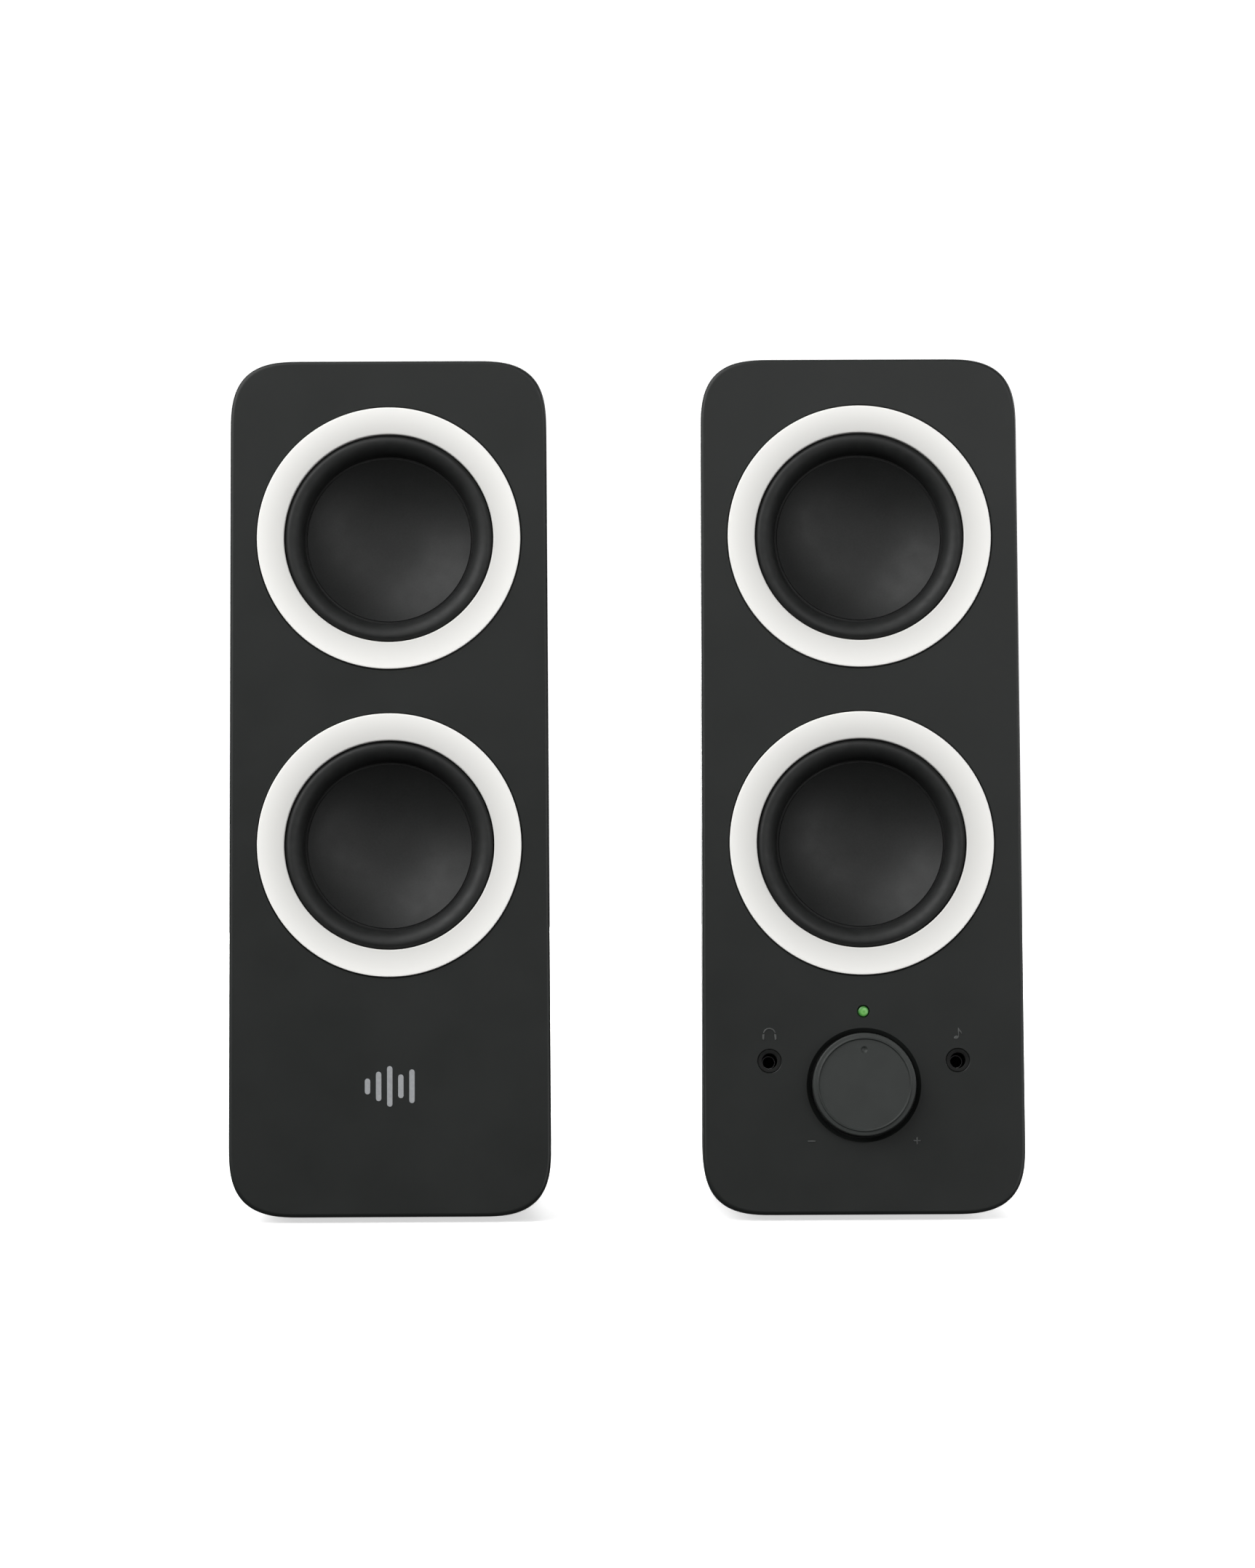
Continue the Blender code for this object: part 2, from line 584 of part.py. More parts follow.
def make_heat_sink(rear):
    """A comb of fins on the inner side of the amplifier board, drawn as a section and extruded."""
    fins, pitch, fin_width, base, height = 5, 5.0, 1.6, 2.5, 16.0
    low, floor = 34.0, -REAR_BOARD_DEPTH - BOARD_THICKNESS - GAP
    inner_x, outer_x = -2.0, 20.0
    section = [(low, floor)]
    for i in range(fins):
        left = low + i * pitch
        section += [(left, floor - height), (left + fin_width, floor - height)]
        if i < fins - 1:
            section += [(left + fin_width, floor - base), (left + pitch, floor - base)]
    section.append((low + (fins - 1) * pitch + fin_width, floor))
    sides = [[(x, y, z) for y, z in section] for x in (inner_x, outer_x)]
    loft("heat_sink", sides, rear, "aluminium")


def make_power_socket(place, housing, seat, back):
    """A barrel socket with its own contact pin."""
    bore(housing, "power_hole", SOCKET_HOLE_R, CUT_ABOVE, -REAR_CUT, place, SMALL_SEGMENTS)
    bore_r, bore_z, rim_z = 2.9, -10.0, 0.2
    turned("power_socket", [
        (0, bore_z), (bore_r, bore_z), (bore_r, rim_z), (SOCKET_R, rim_z), (SOCKET_R, seat),
        (SOCKET_BODY_R, seat), (SOCKET_BODY_R, back), (0, back),
    ], place, "black_plastic", SMALL_SEGMENTS)
    cylinder("power_socket_pin", PIN_R, -1.5, bore_z + GAP, place, "steel", SMALL_SEGMENTS)


def make_speaker_socket(place, housing, seat, back):
    """The phono socket that the other speaker's lead plugs into."""
    barrel_r = SOCKET_R + 0.2
    bore(housing, "speaker_hole", barrel_r + GAP, CUT_ABOVE, -REAR_CUT, place, SMALL_SEGMENTS)
    turned("speaker_socket", [
        (0, -9), (1.6, -9), (1.6, 1.5), (2.8, 1.5), (2.8, 0.6), (3.6, 0.6), (3.6, 2.0), (barrel_r, 2.0),
        (barrel_r, seat), (SOCKET_BODY_R, seat), (SOCKET_BODY_R, back), (0, back),
    ], place, "steel", SMALL_SEGMENTS)


def make_bass_control(place, housing, seat, back):
    bore(housing, "bass_hole", SHAFT_R + 2 * GAP, CUT_ABOVE, -REAR_CUT, place, SMALL_SEGMENTS)
    top, foot_z, shaft_end, grip_r, bevel = 6.5, 0.5, -9.0, 7.0, 0.6
    turned("bass_knob", [
        (0, top), (grip_r - bevel, top), (grip_r, top - bevel), (grip_r, foot_z), (SHAFT_R, foot_z),
        (SHAFT_R, shaft_end), (0, shaft_end),
    ], place, "black_plastic", MID_SEGMENTS)
    socket_r, front, body_r = SHAFT_R + GAP, seat - 0.8, 7.5
    turned("bass_control", [
        (0, shaft_end - GAP), (socket_r, shaft_end - GAP), (socket_r, front), (body_r, front), (body_r, back),
        (0, back),
    ], place, "steel", SMALL_SEGMENTS)


def make_rear_electronics(rear, housing):
    board_back = -REAR_BOARD_DEPTH - BOARD_THICKNESS
    half_width, bottom, top = 26, 20, 86
    block("amplifier_board", (-half_width, bottom, board_back), (half_width, top, -REAR_BOARD_DEPTH), rear,
          "circuit_board")
    make_heat_sink(rear)
    inner = board_back - GAP
    cylinder("filter_capacitor", 6.5, inner, inner - 18, rear, "black_plastic", SMALL_SEGMENTS, (-14, 56, 0))
    seat, back = -WALL - GAP, GAP - REAR_BOARD_DEPTH
    make_power_socket(add_frame("power_socket_axis", rear, (SOCKET_X, SOCKET_V, 0)), housing, seat, back)
    make_speaker_socket(add_frame("speaker_socket_axis", rear, (-SOCKET_X, SOCKET_V, 0)), housing, seat, back)
    make_bass_control(add_frame("bass_axis", rear, (0, BASS_V, 0)), housing, seat, back)


def make_lead_gland(rear, housing):
    """The bush in the left speaker's rear wall that its lead passes through."""
    place = add_frame("lead_gland_axis", rear, (0, SOCKET_V, 0))
    bore(housing, "lead_hole", SOCKET_HOLE_R, CUT_ABOVE, -REAR_CUT, place, SMALL_SEGMENTS)
    bore_r, flange_r, inner_end = 2.2, 5.2, -5.0
    turned("left_lead_gland", [
        (flange_r - 0.6, 2.6), (flange_r, 2.0), (flange_r, 0.4), (SOCKET_R, 0.4), (SOCKET_R, inner_end),
        (bore_r, inner_end), (bore_r, 2.6),
    ], place, "rubber", SMALL_SEGMENTS, ring=True)


def smooth_route(points, count):
    """Points along a curve that leaves and arrives as the four guide points say."""
    a, b, c, d = (Vector(p) for p in points)
    for i in range(count):
        t = i / (count - 1)
        yield (1 - t) ** 3 * a + 3 * t * (1 - t) ** 2 * b + 3 * t * t * (1 - t) * c + t ** 3 * d


def make_driver_lead(side, speaker, end):
    """The pair of wires from the driver's terminals down to the board or the gland."""
    start = face_point(24, UPPER_V - 30)
    away = face_point(40, UPPER_V - 45)
    curve = bpy.data.curves.new(f"{side}_driver_lead", "CURVE")
    curve.dimensions = "3D"
    curve.bevel_depth = 1.2 * MM
    curve.bevel_resolution = 1
    curve.use_fill_caps = True
    curve.materials.append(MATERIALS["black_plastic"])
    route = list(smooth_route((start, away, end + Vector((0, -14, 34)), end), 9))
    spline = curve.splines.new("POLY")
    spline.points.add(len(route) - 1)
    for point, place in zip(spline.points, route):
        point.co = (*(place * MM), 1.0)
    lead = bpy.data.objects.new(f"{side}_driver_lead", curve)
    lead.parent = speaker
    PARTS.objects.link(lead)


# ---- Assembly ----------------------------------------------------------------------------------

def make_speaker(side):
    direction = -1 if side == "left" else 1
    speaker = add_frame(f"{side}_speaker", None, (direction * SPEAKER_SPACING / 2, 0, 0))
    face = add_frame(f"{side}_face", speaker, (0, FACE_Y, FACE_Z), (-LEAN, 0, 0))
    rear = add_frame(f"{side}_rear", speaker, (0, REAR_Y, BASE_Z),
                     (math.radians(90) - REAR_LEAN, 0, math.radians(180)))
    upright = (math.radians(90), 0, 0)
    drivers = {"upper": add_frame(f"{side}_upper_axis", face, (0, 0, UPPER_V), upright),
               "lower": add_frame(f"{side}_lower_axis", face, (0, 0, LOWER_V), upright)}
    screws = {name: add_frame(f"{side}_screw_axis_{name}", face, (x, 0, v), upright)
              for name, (x, v) in SCREW_PLACES.items()}
    housing = make_housing(side, speaker, screws)
    panel, pocket = make_baffle(side, face, drivers, screws)
    for name, place in screws.items():
        make_screw(f"{side}_screw_{name}", place)
    for name, place in drivers.items():
        make_trim_ring(f"{side}_{name}_trim_ring", place)
    make_active_driver(side, drivers["upper"])
    make_passive_radiator(side, drivers["lower"])
    make_feet(side, speaker)
    up_rear = Vector((0, -math.sin(REAR_LEAN), math.cos(REAR_LEAN)))
    out_rear = Vector((0, math.cos(REAR_LEAN), math.sin(REAR_LEAN)))
    rear_low = Vector((0, REAR_Y, BASE_Z))
    if side == "right":
        make_front_controls(face, panel, pocket)
        make_rear_electronics(rear, housing)
        lead_end = rear_low + up_rear * 76 - out_rear * (REAR_BOARD_DEPTH + BOARD_THICKNESS + 2)
    else:
        make_lead_gland(rear, housing)
        lead_end = rear_low + up_rear * SOCKET_V - out_rear * 8
    cut(panel, pocket)
    make_driver_lead(side, speaker, lead_end)


make_speaker("left")
make_speaker("right")
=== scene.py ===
"""Looks of a pair of desktop speakers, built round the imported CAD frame.

Every shell that shows is modelled again here at full smoothness, in the place of its CAD node and close to
its sizes. Lengths are in millimetres and MM turns them into metres. Each speaker has a face frame that
leans back (x to the right, y into the body, z up the face). A place on the face is (x, v) in that frame,
and face_axis and rear_axis turn such a place on the face or the rear into a frame for one piece.
"""

import json
import math

import bmesh
import bpy
from mathutils import Matrix, Vector


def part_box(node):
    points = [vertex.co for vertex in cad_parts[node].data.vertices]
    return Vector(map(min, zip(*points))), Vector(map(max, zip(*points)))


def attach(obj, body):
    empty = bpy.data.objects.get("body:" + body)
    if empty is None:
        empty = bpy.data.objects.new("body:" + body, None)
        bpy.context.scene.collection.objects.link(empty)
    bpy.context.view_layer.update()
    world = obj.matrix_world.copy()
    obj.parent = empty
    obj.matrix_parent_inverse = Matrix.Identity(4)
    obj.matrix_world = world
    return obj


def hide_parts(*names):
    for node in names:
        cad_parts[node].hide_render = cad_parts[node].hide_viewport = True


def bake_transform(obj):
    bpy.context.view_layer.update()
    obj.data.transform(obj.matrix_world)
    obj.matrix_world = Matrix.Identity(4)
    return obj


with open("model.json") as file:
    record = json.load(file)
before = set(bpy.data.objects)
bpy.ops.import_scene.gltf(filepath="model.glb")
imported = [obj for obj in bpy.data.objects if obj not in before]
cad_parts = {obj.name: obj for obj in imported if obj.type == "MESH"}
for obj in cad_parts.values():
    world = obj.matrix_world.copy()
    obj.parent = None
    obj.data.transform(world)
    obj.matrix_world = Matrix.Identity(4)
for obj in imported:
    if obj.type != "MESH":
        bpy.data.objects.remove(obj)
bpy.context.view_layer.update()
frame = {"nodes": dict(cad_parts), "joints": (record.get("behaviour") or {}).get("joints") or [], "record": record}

MM = 0.001
GAP = 0.3

# Front panel
FACE_BOTTOM_WIDTH = 90.0
FACE_TOP_WIDTH = 88.8
FACE_HEIGHT = 240.7
FACE_CORNER = 20.5
CORNER_EXPONENT = 3.0
CORNER_POINTS = 26
EDGE_ROUNDING = 1.0
EDGE_STEPS = 7
BACK_CHAMFER = 0.25
BAFFLE_DEPTH = 7.0
BAFFLE_SKIN = 2.5
BAFFLE_WALL = 2.5
HOUSING_SEAT = BAFFLE_DEPTH + GAP
PANEL_CUT = -20.0

# Drivers
UPPER_V = 190.4
LOWER_V = 103.85
RING_OUTER_R = 37.0
RING_INNER_R = 29.4
RING_PROUD = 0.5
RING_BACK = 2.4
RECESS_DEPTH = 4.0
DRIVER_HOLE_R = 33.0
DRIVER_BOSS_R = 40.0
CONE_R = 23.0
CONE_DEPTH = 6.6
CONE_CURVE = 2.6
CONE_EDGE_Z = -5.6
ROLL_CREST_R = 27.7
ROLL_CREST_Z = 0.1
ROLL_OUTER_R = 29.1
ROLL_INNER_R = 23.9
ROLL_FOOT_Z = -5.0

# Controls
KNOB_V = 36.0
KNOB_R = 14.4
KNOB_CAP_R = 12.7
KNOB_PROUD = 5.0
KNOB_RECESS_R = 15.9
KNOB_RECESS_DEPTH = 2.5
KNOB_RECESS_SLOPE = 1.0
KNOB_BOSS_R = 18.2
SHAFT_R = 3.0
DIMPLE_V = 9.7
LIGHT_V = 56.6
LIGHT_R = 1.4
LIGHT_BOSS_R = 3.2
LIGHT_BACK = 17.5
JACK_X = 26.3
JACK_V = 42.8
JACK_HOLE_R = 3.3
JACK_BOSS_R = 5.0
ICON_V = 50.4
SIGN_X = 14.7
SIGN_V = 20.4
MARK_HEIGHT = 0.2
MARK_SINK = 0.1

# Housing
WALL = 2.5
REAR_FILLET = 8.0
REAR_TOP_Z = 228.0
TOP_CURVE = 1.8
NARROWING = 0.12
FILLET_START = 0.93
PILLAR_R = 4.2
WELL_R = 2.9
WELL_FLOOR = 6.0
PILOT_R = 1.6
SCREW_PLACES = ((-31, 24), (31, 24), (-31, 224), (31, 224))
SOCKET_X = 14.0
SOCKET_V = 32.0
BASS_V = 72.0
SOCKET_BACK = 14.1
SOCKET_FLOOR = -10.0
SOCKET_SEAT = -WALL - GAP
POWER_BARREL_R = 4.0
OUTPUT_BARREL_R = 4.2
GLAND_NECK_R = 4.0
REAR_CUT = -6.0
CUT_THROUGH = 150.0

SMOOTH_SEGMENTS = 160
RECESS_SEGMENTS = 128
BOSS_SEGMENTS = 96
HOLE_SEGMENTS = 64
ROD_SEGMENTS = 32
SHARP_ANGLE = 40
SIDES = ("left", "right")


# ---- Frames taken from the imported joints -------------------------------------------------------

def joint(name):
    return next(entry for entry in frame["joints"] if entry["name"] == name)


VOLUME = joint("volume_turn")
BASS = joint("bass_turn")
LEAN = math.atan2(-VOLUME["axis"][2], VOLUME["axis"][1])
REAR_LEAN = math.atan2(-BASS["axis"][2], -BASS["axis"][1])
SPEAKER_X = VOLUME["pos_m"][0] / MM
FACE_Y = VOLUME["pos_m"][1] / MM - KNOB_V * math.sin(LEAN)
FACE_Z = VOLUME["pos_m"][2] / MM - KNOB_V * math.cos(LEAN)
REAR_Y = BASS["pos_m"][1] / MM + BASS_V * math.sin(REAR_LEAN)
BASE_Z = BASS["pos_m"][2] / MM - BASS_V * math.cos(REAR_LEAN)
REAR_TOP_Y = REAR_Y - (REAR_TOP_Z - BASE_Z) * math.tan(REAR_LEAN)


def speaker_x(side):
    return -SPEAKER_X if side == "left" else SPEAKER_X


def speaker_frame(side):
    return Matrix.Translation((speaker_x(side), 0, 0))


def face_frame(side):
    return Matrix.Translation((speaker_x(side), FACE_Y, FACE_Z)) @ Matrix.Rotation(-LEAN, 4, "X")


def face_axis(side, x, v):
    """A frame whose Z points out of the face at (x, v)."""
    return face_frame(side) @ Matrix.Translation((x, 0, v)) @ Matrix.Rotation(math.radians(90), 4, "X")


def rear_axis(side, x, v):
    """A frame whose Z points out of the rear face at (x, v)."""
    place = Matrix.Translation((speaker_x(side), REAR_Y, BASE_Z)) @ Matrix.Rotation(math.pi, 4, "Z")
    return place @ Matrix.Rotation(math.radians(90) - REAR_LEAN, 4, "X") @ Matrix.Translation((x, v, 0))


# ---- Mesh helpers ------------------------------------------------------------------------------

def add_object(name, mesh):
    obj = bpy.data.objects.new(name, mesh)
    bpy.context.scene.collection.objects.link(obj)
    return obj


def finish_mesh(name, shape, place, sharp=SHARP_ANGLE):
    """Turns the working shape into an object in metres, placed by its frame."""
    bmesh.ops.recalc_face_normals(shape, faces=shape.faces)
    local = shape.verts.layers.float_vector.new("local_mm")
    for vert in shape.verts:
        vert[local] = vert.co
    bmesh.ops.transform(shape, matrix=Matrix.Scale(MM, 4) @ place, verts=shape.verts)
    mesh = bpy.data.meshes.new(name)
    shape.to_mesh(mesh)
    shape.free()
    mesh.shade_smooth()
    mesh.set_sharp_from_angle(angle=math.radians(sharp))
    return add_object(name, mesh)


def soften(points, radius, steps=4, ring=False):
    """The same profile with each corner replaced by a short curve that starts radius before it."""
    softened = []
    count = len(points)
    longest = 0.45  # share of an edge that one corner's curve may take
    for i, point in enumerate(points):
        here = Vector(point)
        if not ring and i in (0, count - 1):
            softened.append(here)
            continue
        before, after = Vector(points[i - 1]) - here, Vector(points[(i + 1) % count]) - here
        start = here + before.normalized() * min(radius, before.length * longest)
        end = here + after.normalized() * min(radius, after.length * longest)
        for step in range(steps + 1):
            t = step / steps
            softened.append((1 - t) ** 2 * start + 2 * t * (1 - t) * here + t * t * end)
    return [tuple(point) for point in softened]


def turned_shape(profile, segments, ring=False, ripple=None):
    """A turned skin. ripple(angle, radius) may give the radius of a point that isn't quite round."""
    shape = bmesh.new()
    rows = []
    for radius, z in profile:
        if radius < 1e-6:
            rows.append([shape.verts.new((0, 0, z))])
            continue
        row = []
        for step in range(segments):
            angle = 2 * math.pi * step / segments
            r = ripple(angle, radius) if ripple else radius
            row.append(shape.verts.new((r * math.cos(angle), r * math.sin(angle), z)))
        rows.append(row)
    pairs = list(zip(rows, rows[1:])) + ([(rows[-1], rows[0])] if ring else [])
    for upper, lower in pairs:
        for i in range(segments):
            j = (i + 1) % segments
            corners = [upper[i % len(upper)], upper[j % len(upper)]]
            corners += [lower[j % len(lower)], lower[i % len(lower)]]
            distinct = list(dict.fromkeys(corners))
            if len(distinct) > 2:
                shape.faces.new(distinct)
    return shape


def turned(name, profile, place, segments=SMOOTH_SEGMENTS, ring=False, sharp=SHARP_ANGLE, ripple=None):
    return finish_mesh(name, turned_shape(profile, segments, ring, ripple), place, sharp)


def loft(name, sections, place, sharp=SHARP_ANGLE):
    """A closed skin over sections with equal numbers of points, capped at both ends."""
    shape = bmesh.new()
    loops = [[shape.verts.new(point) for point in section] for section in sections]
    for near, far in zip(loops, loops[1:]):
        for i in range(len(near)):
            j = (i + 1) % len(near)
            shape.faces.new((near[i], near[j], far[j], far[i]))
    shape.faces.new(loops[0])
    shape.faces.new(loops[-1])
    return finish_mesh(name, shape, place, sharp)


def slab(name, points, place, top, bottom):
    """A flat outline (x, y) given thickness along its frame's Z."""
    return loft(name, [[(x, y, z) for x, y in points] for z in (top, bottom)], place)


def carve(target, cutters):
    """Takes all the cutters out of the target at once and applies the result."""
    tools = bpy.data.collections.new(f"{target.name}_cutters")
    bpy.context.scene.collection.children.link(tools)
    for cutter in cutters:
        tools.objects.link(cutter)
    boolean = target.modifiers.new("Carve", "BOOLEAN")
    boolean.operand_type = "COLLECTION"
    boolean.collection = tools
    apply_modifiers(target)
    for cutter in cutters:
        bpy.data.objects.remove(cutter, do_unlink=True)
    bpy.data.collections.remove(tools)
    target.data.shade_smooth()
    target.data.set_sharp_from_angle(angle=math.radians(SHARP_ANGLE))
    return target


def apply_modifiers(obj):
    graph = bpy.context.evaluated_depsgraph_get()
    graph.update()
    mesh = bpy.data.meshes.new_from_object(obj.evaluated_get(graph))
    obj.modifiers.clear()
    obj.data = mesh


def flatten_shading(obj):
    """Keeps large flat faces flat where they meet a rounded edge."""
    weighted = obj.modifiers.new("Flat faces", "WEIGHTED_NORMAL")
    weighted.keep_sharp = True
    weighted.weight = 100
    apply_modifiers(obj)


def outline(bottom_width, top_width, height, corner, inset=0.0, count=CORNER_POINTS):
    """Points (x, v) round an upright panel whose four corners are quarters of a superellipse."""
    reach = corner - inset / 2
    points = []
    for side, upper in ((1, False), (1, True), (-1, True), (-1, False)):
        for step in range(count):
            share = step / (count - 1)
            angle = math.radians(90) * (share if upper == (side == 1) else 1 - share)
            from_side = reach * (1 - max(math.cos(angle), 0) ** (2 / CORNER_EXPONENT))
            from_end = reach * (1 - max(math.sin(angle), 0) ** (2 / CORNER_EXPONENT))
            v = height - inset - from_end if upper else inset + from_end
            half = (bottom_width + (top_width - bottom_width) * v / height) / 2 - inset
            points.append((side * (half - from_side), v))
    return points


def circle(radius, count, centre=(0, 0), start=0.0, end=360.0):
    """Points along an arc, from start to end in degrees."""
    spread = count if end - start >= 360 else count - 1
    angles = [math.radians(start + (end - start) * i / spread) for i in range(count)]
    return [(centre[0] + radius * math.cos(a), centre[1] + radius * math.sin(a)) for a in angles]


# ---- Pieces: front panel and housing -----------------------------------------------------------

def face_outline(inset, depth):
    flat = outline(FACE_BOTTOM_WIDTH, FACE_TOP_WIDTH, FACE_HEIGHT, FACE_CORNER, inset)
    return [(x, depth, v) for x, v in flat]


def face_point(depth, v):
    return Vector((
        0,
        FACE_Y + depth * math.cos(LEAN) + v * math.sin(LEAN),
        FACE_Z - depth * math.sin(LEAN) + v * math.cos(LEAN),
    ))


def housing_section(share, wall=0.0):
    """The housing's outline from its front edge, share 0, to its rear face, share 1."""
    going = max(share, 0.0)
    low = face_point(HOUSING_SEAT, 0)
    high = face_point(HOUSING_SEAT, FACE_HEIGHT)
    low.y += (REAR_Y - wall - low.y) * share
    high.y += (REAR_TOP_Y - wall - high.y) * share
    high.z -= (high.z - REAR_TOP_Z) * going ** TOP_CURVE
    bend = max(going - FILLET_START, 0.0) / (1 - FILLET_START)
    inset = wall + REAR_FILLET * (1 - math.sqrt(max(1 - bend * bend, 0.0)))
    narrow = 1 - NARROWING * going * going
    height = (high - low).length
    flat = outline(FACE_BOTTOM_WIDTH * narrow, FACE_TOP_WIDTH * narrow, height, FACE_CORNER, inset)
    return [Vector((x, 0, 0)) + low.lerp(high, v / height) for x, v in flat]


def hole(place, radius, bottom, flare, segments=HOLE_SEGMENTS):
    """A cutter for a round hole whose mouth is chamfered at 45 degrees, flare wide and flare deep."""
    top = 2.0
    profile = [(0, top), (radius + flare + top, top), (radius, -flare), (radius, bottom), (0, bottom)]
    return turned("cutter", profile, place, segments)


def plain_rod(place, radius, top, bottom, segments=ROD_SEGMENTS):
    return turned("cutter", [(0, top), (radius, top), (radius, bottom), (0, bottom)], place, segments)


def make_housing(side):
    body_steps, fillet_steps = 14, 10
    shares = [FILLET_START * i / body_steps for i in range(body_steps)]
    bends = [math.sin(math.radians(90) * i / fillet_steps) for i in range(fillet_steps + 1)]
    shares += [FILLET_START + (1 - FILLET_START) * bend for bend in bends]
    place = speaker_frame(side)
    body = loft(f"{side}_housing_shell", [housing_section(s) for s in shares], place)
    past_front = -0.03
    inner = [past_front] + shares[1:-1:3] + [1.0]
    cavity = loft("cavity", [housing_section(s, WALL) for s in inner], place)
    screws = [face_axis(side, x, v) for x, v in SCREW_PLACES]
    carve(cavity, [plain_rod(axis, PILLAR_R, 0, -CUT_THROUGH) for axis in screws])
    well_floor = -HOUSING_SEAT - WELL_FLOOR
    cutters = [cavity]
    for axis in screws:
        cutters.append(plain_rod(axis, WELL_R, well_floor, -CUT_THROUGH))
        cutters.append(plain_rod(axis, PILOT_R, 0, well_floor - 1))
    if side == "right":
        cutters.append(hole(rear_axis(side, SOCKET_X, SOCKET_V), POWER_BARREL_R + GAP, REAR_CUT, 0.4))
        cutters.append(hole(rear_axis(side, -SOCKET_X, SOCKET_V), OUTPUT_BARREL_R + GAP, REAR_CUT, 0.4))
        cutters.append(hole(rear_axis(side, 0, BASS_V), SHAFT_R + 2 * GAP, REAR_CUT, 0.3))
        cutters += bass_scale_cutters(side)
    else:
        cutters.append(hole(rear_axis(side, 0, SOCKET_V), GLAND_NECK_R + GAP, REAR_CUT, 0.4))
    carve(body, cutters)
    flatten_shading(body)
    return body


def bass_scale_cutters(side):
    """Short ticks round the bass knob that grow longer as it turns up."""
    count, first_angle, sweep = 9, -135, 270
    half_width, foot_r, depth = 0.25, 9.2, 0.3
    ticks = []
    for i in range(count):
        angle = math.radians(first_angle + sweep * i / (count - 1))
        place = rear_axis(side, 0, BASS_V) @ Matrix.Rotation(angle, 4, "Z")
        end_r = foot_r + 1.2 + 0.12 * i
        points = [(-half_width, foot_r), (half_width, foot_r), (half_width, end_r), (-half_width, end_r)]
        ticks.append(slab("tick", points, place, 1, -depth))
    return ticks


def make_front_panel(side):
    """A hollow-backed panel with a rounded edge, recesses for the rings and bosses round its holes."""
    sections = []
    for step in range(EDGE_STEPS + 1):
        angle = math.radians(90 * step / EDGE_STEPS)
        inset = EDGE_ROUNDING * (1 - math.sin(angle))
        sections.append(face_outline(inset, EDGE_ROUNDING * (1 - math.cos(angle))))
    sections += [face_outline(0, BAFFLE_DEPTH - BACK_CHAMFER), face_outline(BACK_CHAMFER, BAFFLE_DEPTH)]
    place = face_frame(side)
    panel = loft(f"{side}_front_panel", sections, place)
    pocket_depths = (BAFFLE_SKIN, BAFFLE_DEPTH + 2)
    pocket = loft("pocket", [face_outline(BAFFLE_WALL, depth) for depth in pocket_depths], place)
    drivers = [face_axis(side, 0, v) for v in (UPPER_V, LOWER_V)]
    screws = [face_axis(side, x, v) for x, v in SCREW_PLACES]
    bosses = [plain_rod(axis, DRIVER_BOSS_R, 1, PANEL_CUT, BOSS_SEGMENTS) for axis in drivers]
    bosses += [plain_rod(axis, PILLAR_R, 1, PANEL_CUT) for axis in screws]
    recess_r = RING_OUTER_R + GAP
    cutters = [hole(axis, recess_r, -RECESS_DEPTH, 0.2, SMOOTH_SEGMENTS) for axis in drivers]
    cutters += [plain_rod(axis, DRIVER_HOLE_R, 0, PANEL_CUT, BOSS_SEGMENTS) for axis in drivers]
    cutters += [plain_rod(axis, PILOT_R, -BAFFLE_SKIN, PANEL_CUT) for axis in screws]
    if side == "right":
        knob = face_axis(side, 0, KNOB_V)
        light = face_axis(side, 0, LIGHT_V)
        jacks = [face_axis(side, x, JACK_V) for x in (-JACK_X, JACK_X)]
        bosses.append(plain_rod(knob, KNOB_BOSS_R, 1, PANEL_CUT, BOSS_SEGMENTS))
        bosses.append(plain_rod(light, LIGHT_BOSS_R, 1, PANEL_CUT))
        bosses += [plain_rod(axis, JACK_BOSS_R, 1, PANEL_CUT) for axis in jacks]
        recess_floor_r = KNOB_RECESS_R + 0.1 - KNOB_RECESS_SLOPE
        cutters.append(hole(knob, recess_floor_r, -KNOB_RECESS_DEPTH, KNOB_RECESS_SLOPE, RECESS_SEGMENTS))
        cutters.append(plain_rod(knob, SHAFT_R + 2 * GAP, 0, PANEL_CUT))
        cutters.append(hole(light, LIGHT_R + GAP, PANEL_CUT, 0.15))
        cutters += [hole(axis, JACK_HOLE_R, PANEL_CUT, 0.2) for axis in jacks]
    carve(pocket, bosses)
    carve(panel, cutters + [pocket])
    flatten_shading(panel)
    return panel


# ---- Pieces: drivers ---------------------------------------------------------------------------

def make_trim_ring(name, place):
    """An almost flat ring whose outer edge is crisp and whose inner edge rolls over towards the surround."""
    rounding, skirt_z = 0.4, -1.2
    outer_r, lip_r, lip_z = RING_OUTER_R - 0.4, RING_INNER_R + rounding, RING_PROUD - 0.25
    lip = [(lip_r - rounding * math.sin(math.radians(a)), lip_z - rounding * (1 - math.cos(math.radians(a))))
           for a in range(0, 91, 15)]
    rim = soften([(lip_r, lip_z), (outer_r, RING_PROUD), (RING_OUTER_R, RING_PROUD - 0.05),
                  (RING_OUTER_R, skirt_z)], 0.3, 6)
    back = [(RING_OUTER_R, -RING_BACK), (RING_INNER_R, -RING_BACK)]
    return turned(name, rim + back + lip[::-1][:-1], place, ring=True, sharp=55)


